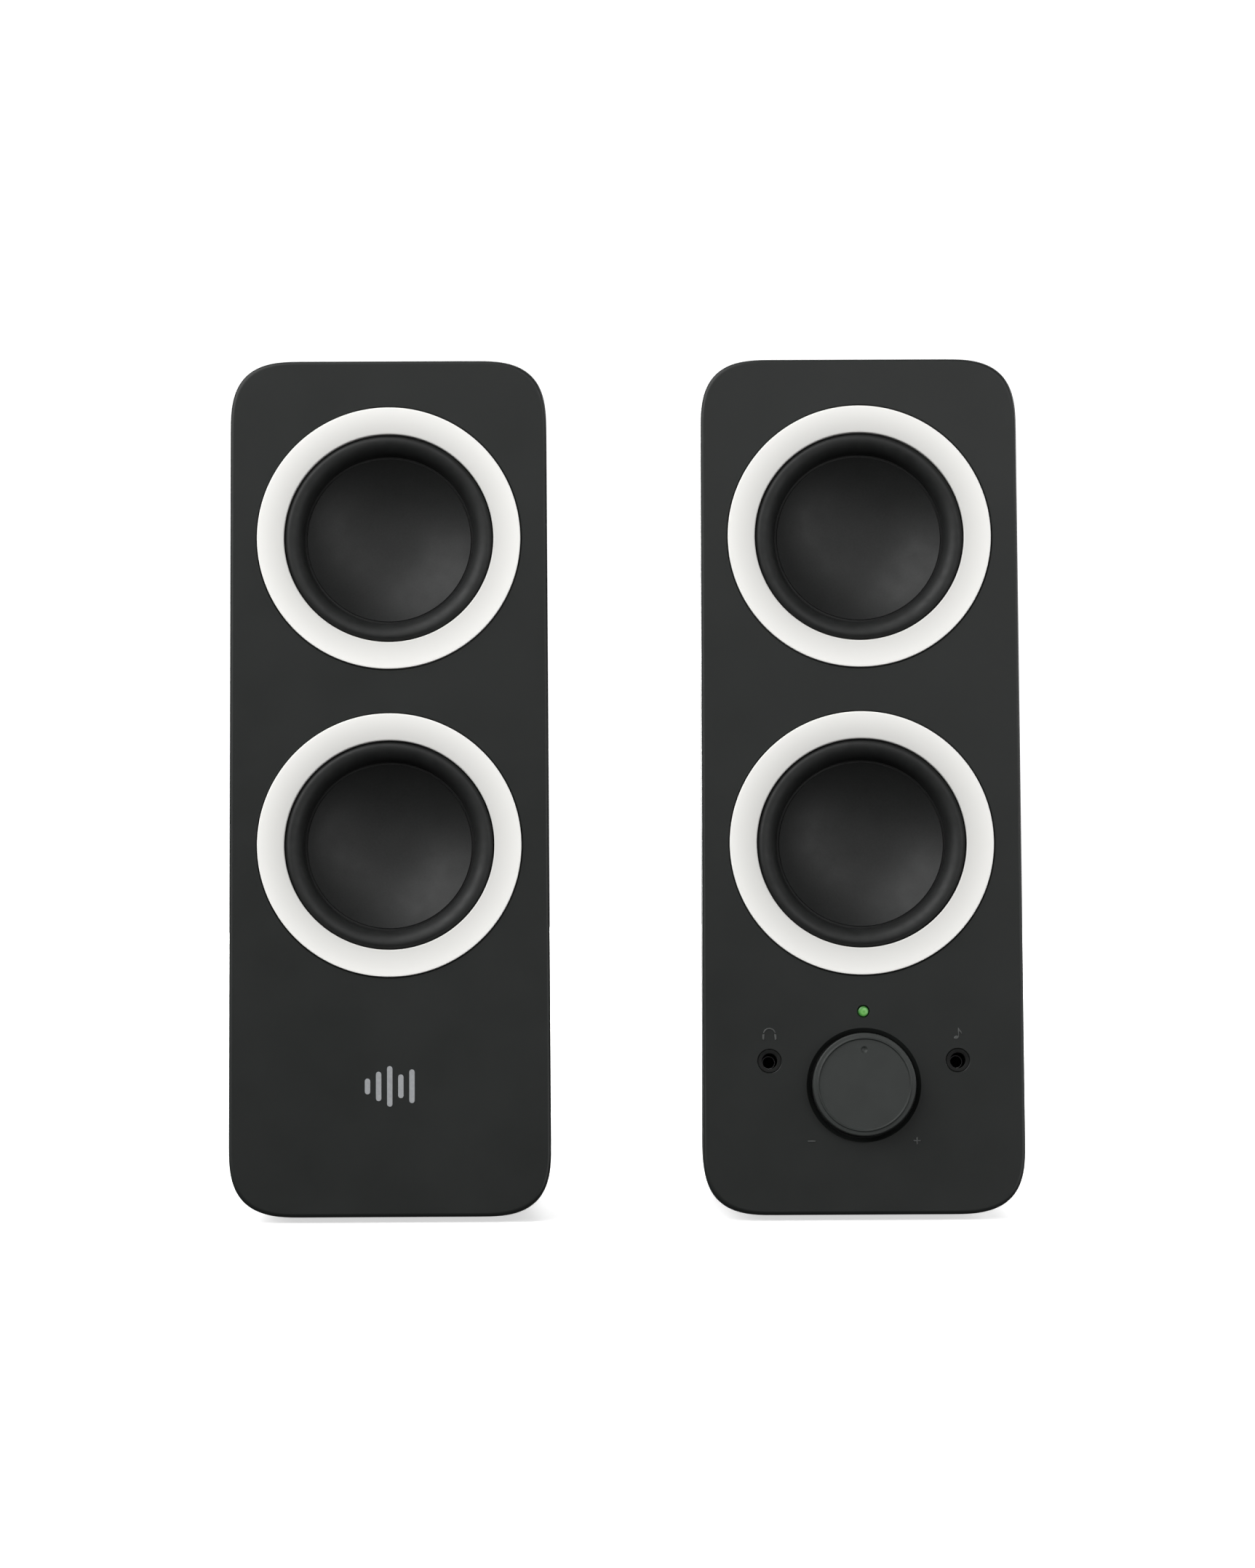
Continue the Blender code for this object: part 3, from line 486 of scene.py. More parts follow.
def roll_arc(inset):
    """The roll's outline from its foot on the cone, up the long inner flank and over the crest."""
    flank, rise = ROLL_CREST_R - ROLL_INNER_R - inset, ROLL_CREST_Z - ROLL_FOOT_Z - inset
    shoulder = ROLL_OUTER_R - ROLL_CREST_R - inset
    drop = ROLL_CREST_Z - inset - shoulder
    up = [math.radians(5 * i) for i in range(18)]
    over = [math.radians(10 * i) for i in range(10)]
    points = [(ROLL_CREST_R - flank * math.cos(a), ROLL_FOOT_Z + rise * math.sin(a)) for a in up]
    return points + [(ROLL_CREST_R + shoulder * math.sin(a), drop + shoulder * math.cos(a)) for a in over]


def surround_profile():
    """A roll of constant thickness with an outer flange on the frame and a deeper foot on the cone."""
    thickness = 0.5
    flange_r, flange_z = 31.6, -RING_BACK - 2 * GAP
    foot_z = ROLL_FOOT_Z - thickness
    inner = roll_arc(thickness)
    profile = [(flange_r, flange_z), (flange_r, flange_z - thickness), (inner[-1][0], flange_z - thickness)]
    profile += inner[::-1] + [(inner[0][0], foot_z), (ROLL_INNER_R - 0.2, foot_z)]
    return profile + roll_arc(0.0) + [(ROLL_OUTER_R, flange_z)]


def make_surround(name, place):
    """The roll, turned and baked into place in world space."""
    roll = turned(name, surround_profile(), place, ring=True, sharp=60)
    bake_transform(roll)
    return roll


def dish_z(radius):
    return CONE_EDGE_Z - CONE_DEPTH * (1 - (radius / CONE_R) ** CONE_CURVE)


def make_cone(name, place, back_boss):
    """A smooth dish with no dust cap, whose rim steps down under the surround."""
    thickness, lap_r, rows = 0.7, CONE_R + 1.2, 36
    neck_r = 8
    neck_z = dish_z(neck_r) - thickness - back_boss - 0.01
    rim_z = dish_z(CONE_R) - 0.3
    front = [(CONE_R * i / rows, dish_z(CONE_R * i / rows)) for i in range(rows)]
    rim = [(CONE_R, dish_z(CONE_R)), (CONE_R + 0.05, rim_z), (lap_r, rim_z)]
    back = [(lap_r, rim_z - thickness), (CONE_R - 1, rim_z - thickness)]
    back += [(r, dish_z(r) - thickness) for r in range(20, neck_r - 1, -2)]
    back += [(neck_r, neck_z), (0, neck_z)]
    return turned(name, front + soften(rim, 0.08, 2) + back, place, sharp=50)


# ---- Pieces: controls and sockets --------------------------------------------------------------

def make_volume_knob(place):
    """A smooth knob: a flat cap, a fine bead round it, a rim set just below the bead, and a dimple."""
    cap_z, rim_z = KNOB_PROUD - 0.45, KNOB_PROUD - 0.35
    foot_z = GAP - KNOB_RECESS_DEPTH
    socket_r, socket_z = SHAFT_R + GAP, 2.1
    bead_r = KNOB_CAP_R + 0.2
    shoulder = (KNOB_R - 0.25, rim_z - 0.03)
    cap = [(0, cap_z), (KNOB_CAP_R - 0.15, cap_z), (bead_r - 0.1, KNOB_PROUD), (bead_r + 0.1, KNOB_PROUD),
           (bead_r + 0.35, rim_z), shoulder]
    side = [shoulder, (KNOB_R, rim_z - 0.35), (KNOB_R, foot_z)]
    bore = [(socket_r, foot_z), (socket_r, socket_z), (0, socket_z)]
    profile = soften(cap, 0.06, 3)[:-1] + soften([cap[-2], *side], 0.15, 5)[1:-1]
    profile += [(KNOB_R, foot_z + 0.3), (KNOB_R - 0.3, foot_z)] + bore
    knob = turned("volume_knob_body", profile, place)
    dimple_r = 1.25
    ball = [(dimple_r * math.sin(math.radians(9 * i)), dimple_r * math.cos(math.radians(9 * i)))
            for i in range(21)]
    centre = place @ Matrix.Translation((0, DIMPLE_V, cap_z + 0.8))
    carve(knob, [turned("dimple", ball, centre, 48)])
    flatten_shading(knob)
    return knob


def make_power_light(place):
    dome = [(LIGHT_R * math.sin(math.radians(a)), 0.35 * math.cos(math.radians(a)) - 0.1)
            for a in range(0, 91, 10)]
    return turned("power_light_lens", dome + [(LIGHT_R, -LIGHT_BACK), (0, -LIGHT_BACK)], place, 64)


def make_jack(name, place):
    """A 3.5 mm socket: a barrel flush with the face whose wide mouth narrows deep inside."""
    bore_r, mouth_r, barrel_r, body_r = 1.85, 2.15, 3.2, 4.4
    floor_z, neck_z, seat_z = -15.5, -10.0, -BAFFLE_DEPTH - GAP
    profile = [(0, floor_z), (bore_r, floor_z), (bore_r, neck_z), (mouth_r, neck_z + 0.5)]
    mouth = [(mouth_r, neck_z + 1), (mouth_r, -0.35), (barrel_r, -0.2), (barrel_r, -BAFFLE_DEPTH)]
    profile += soften(mouth, 0.15, 4)
    profile += [(barrel_r, seat_z), (body_r, seat_z), (body_r, -LIGHT_BACK), (0, -LIGHT_BACK)]
    return turned(f"{name}_barrel", profile, place, HOLE_SEGMENTS)


def make_jack_contact(name, place):
    """The bright sleeve contact deep inside a 3.5 mm socket."""
    outer_r, inner_r, front_z, back_z = 1.8, 1.62, -10.5, -12.5
    profile = [(outer_r, front_z), (outer_r, back_z), (inner_r, back_z), (inner_r, front_z)]
    return turned(f"{name}_contact", profile, place, HOLE_SEGMENTS, ring=True)


def make_power_socket(place):
    """A round barrel socket, open to its floor, where the pin stands."""
    bore_r, lip_z, body_r = 2.9, 0.2, 6
    shape = [(0, SOCKET_FLOOR), (bore_r, SOCKET_FLOOR), (bore_r, lip_z), (POWER_BARREL_R, lip_z),
             (POWER_BARREL_R, SOCKET_SEAT)]
    profile = soften(shape, 0.18, 3) + [(body_r, SOCKET_SEAT), (body_r, -SOCKET_BACK), (0, -SOCKET_BACK)]
    return turned("power_socket_barrel", profile, place, HOLE_SEGMENTS)


def make_power_pin(place):
    """The round-nosed pin at the centre of the power socket."""
    radius, tip_z, root_z = 0.9, -1.5, SOCKET_FLOOR + GAP
    nose = [(radius * math.sin(math.radians(a)), tip_z - radius * (1 - math.cos(math.radians(a))))
            for a in range(0, 91, 15)]
    return turned("power_socket_centre", [*nose, (radius, root_z), (0, root_z)], place, 32)


def make_speaker_socket(place):
    """A phono socket: a ring round its bore, then a shallow groove inside the collar."""
    bore_r, ring_r, groove_r, body_r = 1.6, 2.8, 3.6, 6.2
    floor_z, ring_z, groove_z, collar_z = -9, 1.5, 0.6, 2.0
    shape = [(0, floor_z), (bore_r, floor_z), (bore_r, ring_z), (ring_r, ring_z), (ring_r, groove_z),
             (groove_r, groove_z), (groove_r, collar_z), (OUTPUT_BARREL_R, collar_z),
             (OUTPUT_BARREL_R, SOCKET_SEAT)]
    profile = soften(shape, 0.12, 3) + [(body_r, SOCKET_SEAT), (body_r, -SOCKET_BACK), (0, -SOCKET_BACK)]
    return turned("speaker_socket_barrel", profile, place, HOLE_SEGMENTS)


def make_bass_knob(place):
    """A small knob with shallow ribs round its grip and an index notch in its cap."""
    ribs, rib_depth, smooth_r = 30, 0.16, 6.3
    grip_r, cap_r, cap_z, foot_z, shaft_end = 7, 6.4, 6.5, 0.5, -9
    notch_half, notch_depth = 0.3, 0.4

    def grip(angle, radius):
        return radius - rib_depth * (1 - abs(math.cos(angle * ribs / 2))) if radius > smooth_r else radius

    shape = [(0, cap_z), (cap_r, cap_z), (grip_r, 5.9), (grip_r, foot_z), (SHAFT_R, foot_z),
             (SHAFT_R, shaft_end), (0, shaft_end)]
    knob = turned("bass_knob_body", soften(shape, 0.35, 4), place, 8 * ribs, ripple=grip)
    corners = [(-notch_half, 2.4), (notch_half, 2.4), (notch_half, 6.0), (-notch_half, 6.0)]
    return carve(knob, [slab("notch", corners, place, cap_z + 1.5, cap_z - notch_depth)])


def make_lead_gland(place):
    """The rubber bush that the left speaker's lead would pass through."""
    bore_r, flange_r, front_z, back_z = 2.2, 5.2, 2.6, -5.0
    shape = [(4.6, front_z), (flange_r, 2.0), (flange_r, 0.4), (GLAND_NECK_R, 0.4), (GLAND_NECK_R, back_z),
             (bore_r, back_z), (bore_r, front_z)]
    return turned("lead_gland_bush", soften(shape, 0.3, 3, ring=True), place, HOLE_SEGMENTS, ring=True)


def raised_mark(name, points, side, x, v):
    """A flat mark that stands just proud of the face, with eased edges."""
    place = face_axis(side, x, v)
    mark = slab(name, points, place, MARK_HEIGHT, -MARK_SINK)
    bevel = mark.modifiers.new("Eased edge", "BEVEL")
    bevel.width = 0.08 * MM
    bevel.segments = 2
    apply_modifiers(mark)
    return mark


def make_icons(side):
    """Raised marks: headphones and a note above the sockets, a minus and a plus under the knob."""
    band = circle(1.8, 16, (0, 0), 12, 168) + circle(1.45, 16, (0, 0), 12, 168)[::-1]
    head = [(0.8 * x + 0.2 * y, 0.62 * y) for x, y in circle(0.8, 18)]
    flag = [(-0.13, 0), (0.13, 0), (0.13, 1.7), (0.6, 1.2), (0.95, 0.85), (0.85, 1.5), (0.3, 2.1),
            (0.13, 2.6), (-0.13, 2.6)]
    bar = [(-1.05, -0.17), (1.05, -0.17), (1.05, 0.17), (-1.05, 0.17)]
    plus = [(-0.17, -1.0), (0.17, -1.0), (0.17, -0.17), (1.0, -0.17), (1.0, 0.17), (0.17, 0.17),
            (0.17, 1.0), (-0.17, 1.0), (-0.17, 0.17), (-1.0, 0.17), (-1.0, -0.17), (-0.17, -0.17)]
    marks = [
        raised_mark("icon_headband", band, side, -JACK_X, ICON_V - 0.1),
        raised_mark("icon_note_head", head, side, JACK_X - 0.4, ICON_V - 1.2),
        raised_mark("icon_note_stem", flag, side, JACK_X + 0.25, ICON_V - 1.15),
        raised_mark("icon_minus", bar, side, -SIGN_X, SIGN_V),
        raised_mark("icon_plus", plus, side, SIGN_X, SIGN_V),
    ]
    for name, sign in (("left", -1), ("right", 1)):
        cup = [(sign * x, y) for x, y in ((1.35, 0.1), (1.9, 0.0), (2.0, -1.3), (1.5, -1.7))]
        marks.append(raised_mark(f"icon_ear_cup_{name}", cup, side, -JACK_X, ICON_V - 0.1))
    return marks


def make_level_bars(side):
    """The generic printed mark on the left speaker: a row of upright level bars with round ends."""
    bars = []
    width, pitch, centre_v = 1.5, 3.1, 36.3
    for i, height in enumerate((4.4, 8.2, 11.3, 6.6, 9.4)):
        reach = height / 2 - width / 2
        ends = circle(width / 2, 12, (0, reach), 0, 180) + circle(width / 2, 12, (0, -reach), 180, 359.99)
        place = face_axis(side, (i - 2) * pitch, centre_v)
        bars.append(slab(f"level_bar_{i + 1}", ends, place, MARK_HEIGHT / 2, -MARK_SINK))
    return bars


def make_foot(name, node):
    """A rubber strip with rounded edges, in the box of its CAD node."""
    corner_r, edge, points_each = 3, 0.2, 10
    low, high = (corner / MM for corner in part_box(node))
    size = high - low
    flat = outline(size.x, size.x, size.y, corner_r, 0.0, points_each)
    eased = outline(size.x, size.x, size.y, corner_r, edge, points_each)
    levels = [(eased, 0.0), (flat, edge), (flat, size.z - edge / 2), (eased, size.z)]
    sections = [[(low.x + size.x / 2 + x, low.y + y, low.z + z) for x, y in points] for points, z in levels]
    return loft(name, sections, Matrix.Identity(4))


# ---- Materials ---------------------------------------------------------------------------------

class Finish:
    """One procedural material: a Principled shader with helpers that wire detail into it."""

    def __init__(self, name, colour, roughness, metallic=0.0, specular=0.5):
        self.material = bpy.data.materials.new(name)
        self.material.use_nodes = True
        self.tree = self.material.node_tree
        self.shader = self.tree.nodes["Principled BSDF"]
        self.shader.inputs["Base Color"].default_value = (*colour, 1.0)
        self.shader.inputs["Roughness"].default_value = roughness
        self.shader.inputs["Metallic"].default_value = metallic
        self.shader.inputs["Specular IOR Level"].default_value = specular
        self.colour, self.roughness = colour, roughness
        self.place = self.add("ShaderNodeTexCoord").outputs["Object"]
        self.normal = None

    def add(self, kind, **values):
        node = self.tree.nodes.new(kind)
        for name, value in values.items():
            setattr(node, name, value)
        return node

    def link(self, source, target):
        self.tree.links.new(source, target)

    def local(self):
        """Coordinates in millimetres in the piece's own frame, Z along its axis."""
        return self.add("ShaderNodeAttribute", attribute_name="local_mm").outputs["Vector"]

    def noise(self, size, detail=3.0, place=None, stretch=(1, 1, 1)):
        """Soft noise with features of about size millimetres."""
        mapping = self.add("ShaderNodeMapping")
        mapping.inputs["Scale"].default_value = stretch
        self.link(place or self.place, mapping.inputs["Vector"])
        noise = self.add("ShaderNodeTexNoise")
        noise.inputs["Scale"].default_value = (1.0 if place else 1 / MM) / size
        noise.inputs["Detail"].default_value = detail
        self.link(mapping.outputs["Vector"], noise.inputs["Vector"])
        return noise.outputs["Fac"]

    def cells(self, size):
        cells = self.add("ShaderNodeTexVoronoi")
        cells.inputs["Scale"].default_value = 1 / MM / size
        self.link(self.place, cells.inputs["Vector"])
        return cells.outputs["Distance"]

    def remap(self, value, low, high, start=0.3, end=0.7):
        ramp = self.add("ShaderNodeMapRange")
        for socket, number in (("From Min", start), ("From Max", end), ("To Min", low), ("To Max", high)):
            ramp.inputs[socket].default_value = number
        self.link(value, ramp.inputs["Value"])
        return ramp.outputs["Result"]

    def tint(self, value, dark, light, start=0.3, end=0.7):
        """Colour that runs from dark to light times the base colour as value runs from start to end."""
        ramp = self.add("ShaderNodeValToRGB")
        for element, place, share in zip(ramp.color_ramp.elements, (start, end), (dark, light)):
            element.position = place
            element.color = (*(min(c * share, 1.0) for c in self.colour), 1.0)
        self.link(value, ramp.inputs["Fac"])
        self.link(ramp.outputs["Color"], self.shader.inputs["Base Color"])
        return self

    def rough(self, value, spread):
        result = self.remap(value, self.roughness - spread, self.roughness + spread)
        self.link(result, self.shader.inputs["Roughness"])
        return self

    def bump(self, height, depth, strength=1.0):
        """Relief of about depth millimetres, on top of any relief already there."""
        bump = self.add("ShaderNodeBump")
        bump.inputs["Distance"].default_value = depth * MM
        bump.inputs["Strength"].default_value = strength
        self.link(height, bump.inputs["Height"])
        if self.normal is not None:
            self.link(self.normal, bump.inputs["Normal"])
        self.normal = bump.outputs["Normal"]
        self.link(self.normal, self.shader.inputs["Normal"])
        return self

    def radius(self):
        """Distance from the piece's own axis, in millimetres."""
        flat = self.add("ShaderNodeVectorMath", operation="MULTIPLY")
        flat.inputs[1].default_value = (1, 1, 0)
        self.link(self.local(), flat.inputs[0])
        length = self.add("ShaderNodeVectorMath", operation="LENGTH")
        self.link(flat.outputs["Vector"], length.inputs[0])
        return length.outputs["Value"]


def shell_finish(name, colour, roughness, grain, depth):
    """Satin moulded plastic: fine spark-eroded grain, faint flow marks and handling sheen."""
    finish = Finish(name, colour, roughness, specular=0.28)
    finish.tint(finish.noise(38, 4), 0.93, 1.07)
    finish.rough(finish.noise(16, 5), 0.035)
    finish.bump(finish.noise(1.6, 2), depth * 0.6, 0.25)
    finish.bump(finish.noise(grain, 2), depth, 0.5)
    return finish.material


def ring_finish():
    finish = Finish("white_ring", (0.87, 0.865, 0.838), 0.45, specular=0.3)
    # Painted shade: the ring's colour darkens from full white at its outer edge to 0.74 of it at its inner edge,
    # standing in for the shade that falls into the driver's hollow.
    finish.tint(finish.remap(finish.radius(), 0, 1, RING_INNER_R, RING_OUTER_R), 0.74, 1.0, 0.0, 1.0)
    finish.rough(finish.noise(6, 4), 0.05)
    finish.bump(finish.noise(0.5, 2), 0.006, 0.4)
    return finish.material


def surround_finish():
    finish = Finish("surround_rubber", (0.0105, 0.0112, 0.0109), 0.55, specular=0.31)
    finish.tint(finish.noise(4, 5), 0.85, 1.2)
    finish.rough(finish.noise(2.5, 4), 0.06)
    finish.bump(finish.noise(0.35, 3), 0.012, 0.5)
    return finish.material


def cone_finish():
    """Injected polypropylene: a soft even sheen with fine specks of filler."""
    finish = Finish("cone_polypropylene", (0.0092, 0.0097, 0.0095), 0.52, specular=0.31)
    finish.tint(finish.noise(0.5, 3), 0.88, 1.2)
    finish.rough(finish.noise(5, 4), 0.04)
    finish.bump(finish.noise(0.3, 2), 0.008, 0.4)
    return finish.material


def knob_finish():
    finish = Finish("knob_plastic", (0.028, 0.031, 0.0295), 0.5, specular=0.3)
    finish.tint(finish.noise(7, 4), 0.93, 1.07)
    finish.rough(finish.noise(4, 4), 0.04)
    finish.bump(finish.noise(0.25, 2), 0.008, 0.45)
    return finish.material


def foot_finish():
    finish = Finish("foot_rubber", (0.02, 0.02, 0.02), 0.75)
    finish.tint(finish.noise(1.5, 4), 0.8, 1.3)
    finish.rough(finish.noise(3, 3), 0.06)
    finish.bump(finish.cells(0.7), 0.04, 0.5)
    return finish.material


def socket_finish():
    finish = Finish("socket_plastic", (0.007, 0.0073, 0.007), 0.55, specular=0.14)
    finish.tint(finish.noise(2, 4), 0.85, 1.2)
    finish.rough(finish.noise(3, 4), 0.05)
    finish.bump(finish.noise(0.3, 2), 0.01, 0.4)
    return finish.material


def light_finish():
    """A lit lens: a darker spot off centre, where the diode sits, inside a brighter edge."""
    finish = Finish("light_lens", (0.04, 0.16, 0.03), 0.3)
    offset = finish.add("ShaderNodeVectorMath", operation="DISTANCE")
    offset.inputs[1].default_value = (0.12, -0.1, 0.2)
    finish.link(finish.local(), offset.inputs[0])
    glow = finish.add("ShaderNodeValToRGB")
    spot, bright, dim, rim = (0.08, 0.28, 0.05), (0.2, 0.46, 0.13), (0.07, 0.25, 0.04), (0.01, 0.04, 0.01)
    stops = ((0.0, spot), (0.4, bright), (0.66, dim), (0.84, rim))
    for place, _ in stops[1:-1]:
        glow.color_ramp.elements.new(place)
    for element, (place, shade) in zip(glow.color_ramp.elements, stops):
        element.position = place
        element.color = (*shade, 1)
    finish.link(finish.remap(offset.outputs["Value"], 0, 1, 0.0, 1.55), glow.inputs["Fac"])
    finish.link(glow.outputs["Color"], finish.shader.inputs["Emission Color"])
    finish.shader.inputs["Emission Strength"].default_value = 0.6
    finish.tint(finish.noise(0.4, 3), 0.9, 1.1)
    finish.rough(finish.noise(0.8, 2), 0.03)
    finish.bump(finish.noise(0.5, 2), 0.01, 0.3)
    return finish.material


def mark_finish():
    finish = Finish("mark_print", (0.3, 0.31, 0.32), 0.5)
    finish.tint(finish.noise(0.8, 4), 0.92, 1.08)
    finish.rough(finish.noise(1.2, 3), 0.05)
    finish.bump(finish.noise(0.2, 2), 0.006, 0.4)
    return finish.material


def icon_finish():
    finish = Finish("icon_plastic", (0.06, 0.063, 0.061), 0.35)
    finish.tint(finish.noise(0.8, 4), 0.9, 1.1)
    finish.rough(finish.noise(1.2, 3), 0.05)
    finish.bump(finish.noise(0.2, 2), 0.006, 0.4)
    return finish.material


def metal_finish(name, colour, roughness, brush=(1, 1, 8)):
    finish = Finish(name, colour, roughness, 1.0)
    finish.tint(finish.noise(3, 4), 0.88, 1.08)
    finish.rough(finish.noise(0.6, 3, stretch=brush), 0.08)
    finish.bump(finish.noise(0.15, 2, stretch=brush), 0.01, 0.3)
    return finish.material


def dull_finish(name, colour, roughness, size, depth):
    """A plain rough solid, such as ferrite, cloth or solder mask, with its own grain."""
    finish = Finish(name, colour, roughness)
    finish.tint(finish.noise(size * 4, 4), 0.82, 1.2)
    finish.rough(finish.noise(size * 2, 3), 0.06)
    finish.bump(finish.noise(size, 3), depth, 0.5)
    return finish.material


FINISHES = {
    "front": shell_finish("front_panel_plastic", (0.0118, 0.0132, 0.0125), 0.42, 0.22, 0.01),
    "housing": shell_finish("housing_plastic", (0.017, 0.018, 0.0175), 0.5, 0.45, 0.035),
    "ring": ring_finish(),
    "surround": surround_finish(),
    "cone": cone_finish(),
    "knob": knob_finish(),
    "foot": foot_finish(),
    "socket": socket_finish(),
    "light": light_finish(),
    "mark": mark_finish(),
    "icon": icon_finish(),
    "steel": metal_finish("zinc_steel", (0.55, 0.55, 0.56), 0.32),
    "copper": metal_finish("copper_winding", (0.7, 0.33, 0.16), 0.3, (1, 1, 0.2)),
    "aluminium": metal_finish("drawn_aluminium", (0.72, 0.72, 0.73), 0.38, (6, 1, 1)),
    "ferrite": dull_finish("ferrite_block", (0.05, 0.05, 0.055), 0.6, 0.5, 0.03),
    "cloth": dull_finish("spider_cloth", (0.5, 0.34, 0.12), 0.9, 0.35, 0.06),
    "board": dull_finish("solder_mask", (0.02, 0.16, 0.06), 0.4, 0.6, 0.02),
}

NODE_FINISHES = {
    "charcoal_plastic": "housing", "black_plastic": "socket", "knob_plastic": "knob",
    "white_plastic": "ring", "rubber": "foot", "cone_polypropylene": "cone", "spider_cloth": "cloth",
    "ferrite": "ferrite", "steel": "steel", "copper": "copper", "aluminium": "aluminium",
    "circuit_board": "board", "green_lens": "light",
}


def dress_nodes():
    """Gives every CAD node the procedural finish of its material slot."""
    slots = {part["node"]: part["material_slot"] for part in frame["record"]["subparts"]}
    for name, obj in frame["nodes"].items():
        for holder in obj.material_slots:
            holder.link = "OBJECT"
            holder.material = FINISHES[NODE_FINISHES[slots[name]]]


def dress(piece, finish, body=None, node=None):
    """Gives a new piece its material, the body it rides on and the CAD node it stands for."""
    piece.data.materials.clear()
    piece.data.materials.append(FINISHES[finish])
    if body:
        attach(piece, body)
    if node:
        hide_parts(node)


# ---- Assembly ----------------------------------------------------------------------------------

def build_speaker(side):
    speaker = f"{side}_speaker"
    dress(make_front_panel(side), "front", speaker, f"{side}_front_baffle")
    dress(make_housing(side), "housing", speaker, f"{side}_rear_housing")
    for level, kind, v, boss in (("upper", "driver", UPPER_V, 0.0), ("lower", "radiator", LOWER_V, 2.0)):
        place = face_axis(side, 0, v)
        diaphragm = f"{side}_{kind}_diaphragm"
        ring = make_trim_ring(f"{side}_{level}_ring", place)
        dress(ring, "ring", speaker, f"{side}_{level}_trim_ring")
        roll = make_surround(f"{side}_{kind}_roll", place)
        dress(roll, "surround", None, f"{side}_{kind}_surround")
        cone = make_cone(f"{side}_{kind}_dish", place, boss)
        dress(cone, "cone", diaphragm, f"{side}_{kind}_cone")
    for end in ("front", "rear"):
        node = f"{side}_{end}_foot"
        dress(make_foot(f"{node}_strip", node), "foot", speaker, node)


def build_right_controls():
    speaker = "right_speaker"
    knob = make_volume_knob(face_axis("right", 0, KNOB_V))
    dress(knob, "knob", "volume_knob", "volume_knob")
    light = make_power_light(face_axis("right", 0, LIGHT_V))
    dress(light, "light", speaker, "power_light")
    for name, x in (("headphone_jack", -JACK_X), ("aux_jack", JACK_X)):
        place = face_axis("right", x, JACK_V)
        dress(make_jack(name, place), "socket", speaker, name)
        dress(make_jack_contact(name, place), "steel", speaker)
    power = make_power_socket(rear_axis("right", SOCKET_X, SOCKET_V))
    dress(power, "socket", speaker, "power_socket")
    pin = make_power_pin(rear_axis("right", SOCKET_X, SOCKET_V))
    dress(pin, "steel", speaker, "power_socket_pin")
    output = make_speaker_socket(rear_axis("right", -SOCKET_X, SOCKET_V))
    dress(output, "steel", speaker, "speaker_socket")
    for mark in make_icons("right"):
        dress(mark, "icon", speaker)
    bass = make_bass_knob(rear_axis("right", 0, BASS_V))
    dress(bass, "socket", "bass_knob", "bass_knob")


def build_left_details():
    gland = make_lead_gland(rear_axis("left", 0, SOCKET_V))
    dress(gland, "foot", "left_speaker", "left_lead_gland")
    for bar in make_level_bars("left"):
        dress(bar, "mark", "left_speaker")


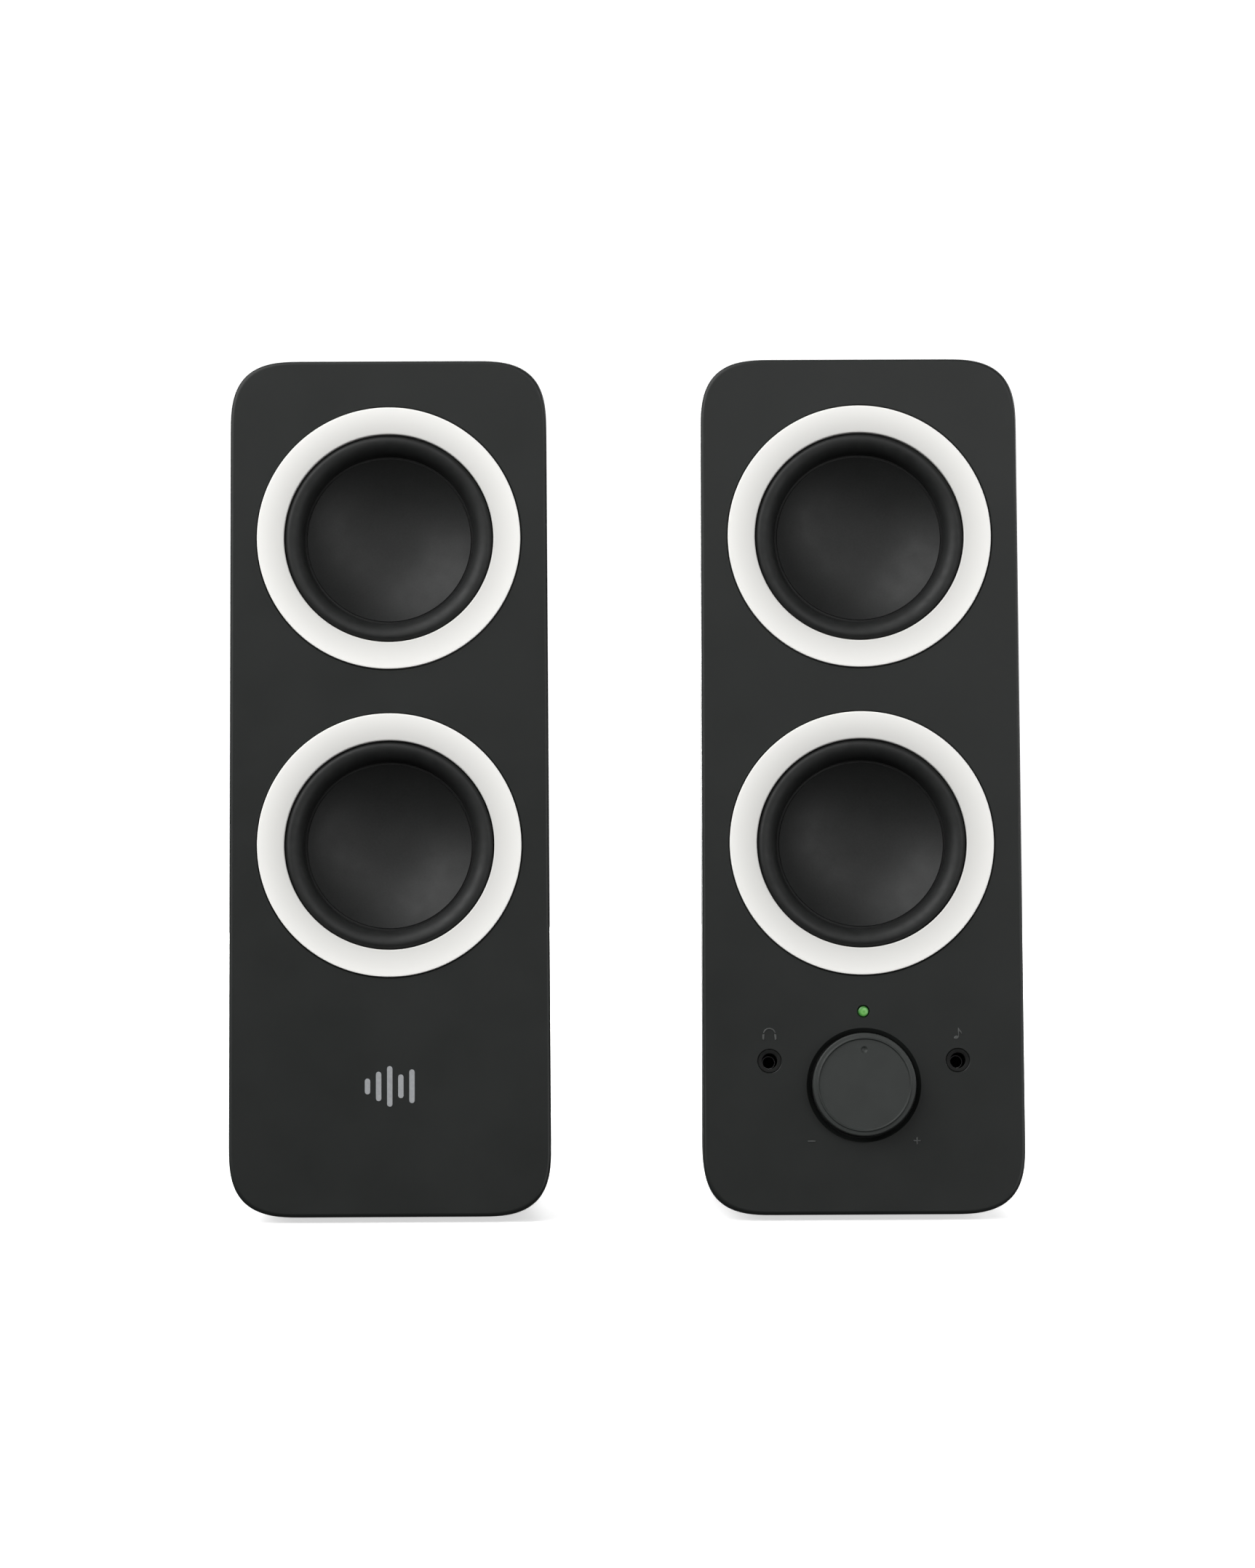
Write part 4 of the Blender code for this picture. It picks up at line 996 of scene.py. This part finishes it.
def build_stage():
    """A pale floor that curves up on every side into a plain white surround."""
    near_r, floor_r, bend, wall_top = 0.6, 2.6, 1.2, 5.0
    line = [(0, 0), (near_r / MM, 0), (floor_r / MM, 0)]
    line += [((floor_r + bend * math.sin(math.radians(a))) / MM, bend * (1 - math.cos(math.radians(a))) / MM)
             for a in range(9, 91, 9)]
    line += [((floor_r + bend) / MM, wall_top / MM), (0, wall_top / MM)]
    floor = turned("studio", line, Matrix.Identity(4), 96)
    paper = Finish("studio_paper", (0.8, 0.8, 0.8), 0.85)
    paper.tint(paper.noise(300, 2), 0.995, 1.005)
    glow = paper.remap(paper.radius(), 0.62, 1.0, 100, 900)
    paper.link(glow, paper.shader.inputs["Emission Strength"])
    paper.shader.inputs["Emission Color"].default_value = (1, 1, 1, 1)
    floor.data.materials.append(paper.material)
    for ray in ("diffuse", "glossy", "transmission", "shadow"):
        setattr(floor, f"visible_{ray}", False)


def add_light(name, place, size, power):
    """A white softbox that faces the middle of the speakers."""
    lamp = bpy.data.lights.new(name, "AREA")
    lamp.shape = "RECTANGLE"
    lamp.size, lamp.size_y = size
    lamp.energy = power
    light = add_object(name, lamp)
    light.location = place
    middle = Vector((0, 0, 0.12))
    light.rotation_euler = (middle - Vector(place)).to_track_quat("-Z", "Y").to_euler()
    light.visible_camera = False


def build_lights():
    add_light("key", (-0.95, -0.72, 1.12), (1.8, 1.8), 38.5)
    add_light("front_top", (0.55, -1.5, 0.85), (1.0, 0.3), 6)
    add_light("fill", (1.1, -1.3, 0.12), (0.8, 0.8), 7)
    add_light("rim", (0.4, 1.2, 1.4), (1.2, 0.8), 16)
    add_light("back", (-0.5, 1.7, 0.5), (1.4, 1.0), 24)
    add_light("side", (1.7, 0.35, 0.6), (1.2, 1.0), 18)
    world = bpy.data.worlds.new("studio")
    world.use_nodes = True
    background = world.node_tree.nodes["Background"]
    background.inputs["Color"].default_value = (1, 1, 1, 1)
    background.inputs["Strength"].default_value = 0.09
    bpy.context.scene.world = world


def build_camera():
    """The photograph's view: almost level, far back, turned half a degree and rolled a quarter."""
    distance = 1.735
    azimuth, elevation, roll = (math.radians(angle) for angle in (-0.495, 1.044, -0.255))
    aim = Vector((0.0005, FACE_Y * MM, 0.1221))
    back = Vector((
        math.sin(azimuth) * math.cos(elevation), -math.cos(azimuth) * math.cos(elevation), math.sin(elevation),
    ))
    lens = bpy.data.cameras.new("camera")
    lens.sensor_width = 36.0
    lens.lens = 143.17
    camera = add_object("camera", lens)
    camera.location = aim + back * distance
    camera.rotation_mode = "QUATERNION"
    level = (-back).to_track_quat("-Z", "Y")
    camera.rotation_quaternion = level @ Matrix.Rotation(roll, 3, "Z").to_quaternion()
    bpy.context.scene.camera = camera


dress_nodes()
for side in SIDES:
    build_speaker(side)
build_right_controls()
build_left_details()
build_stage()
build_lights()
build_camera()
bpy.context.scene.view_settings.view_transform = "Standard"
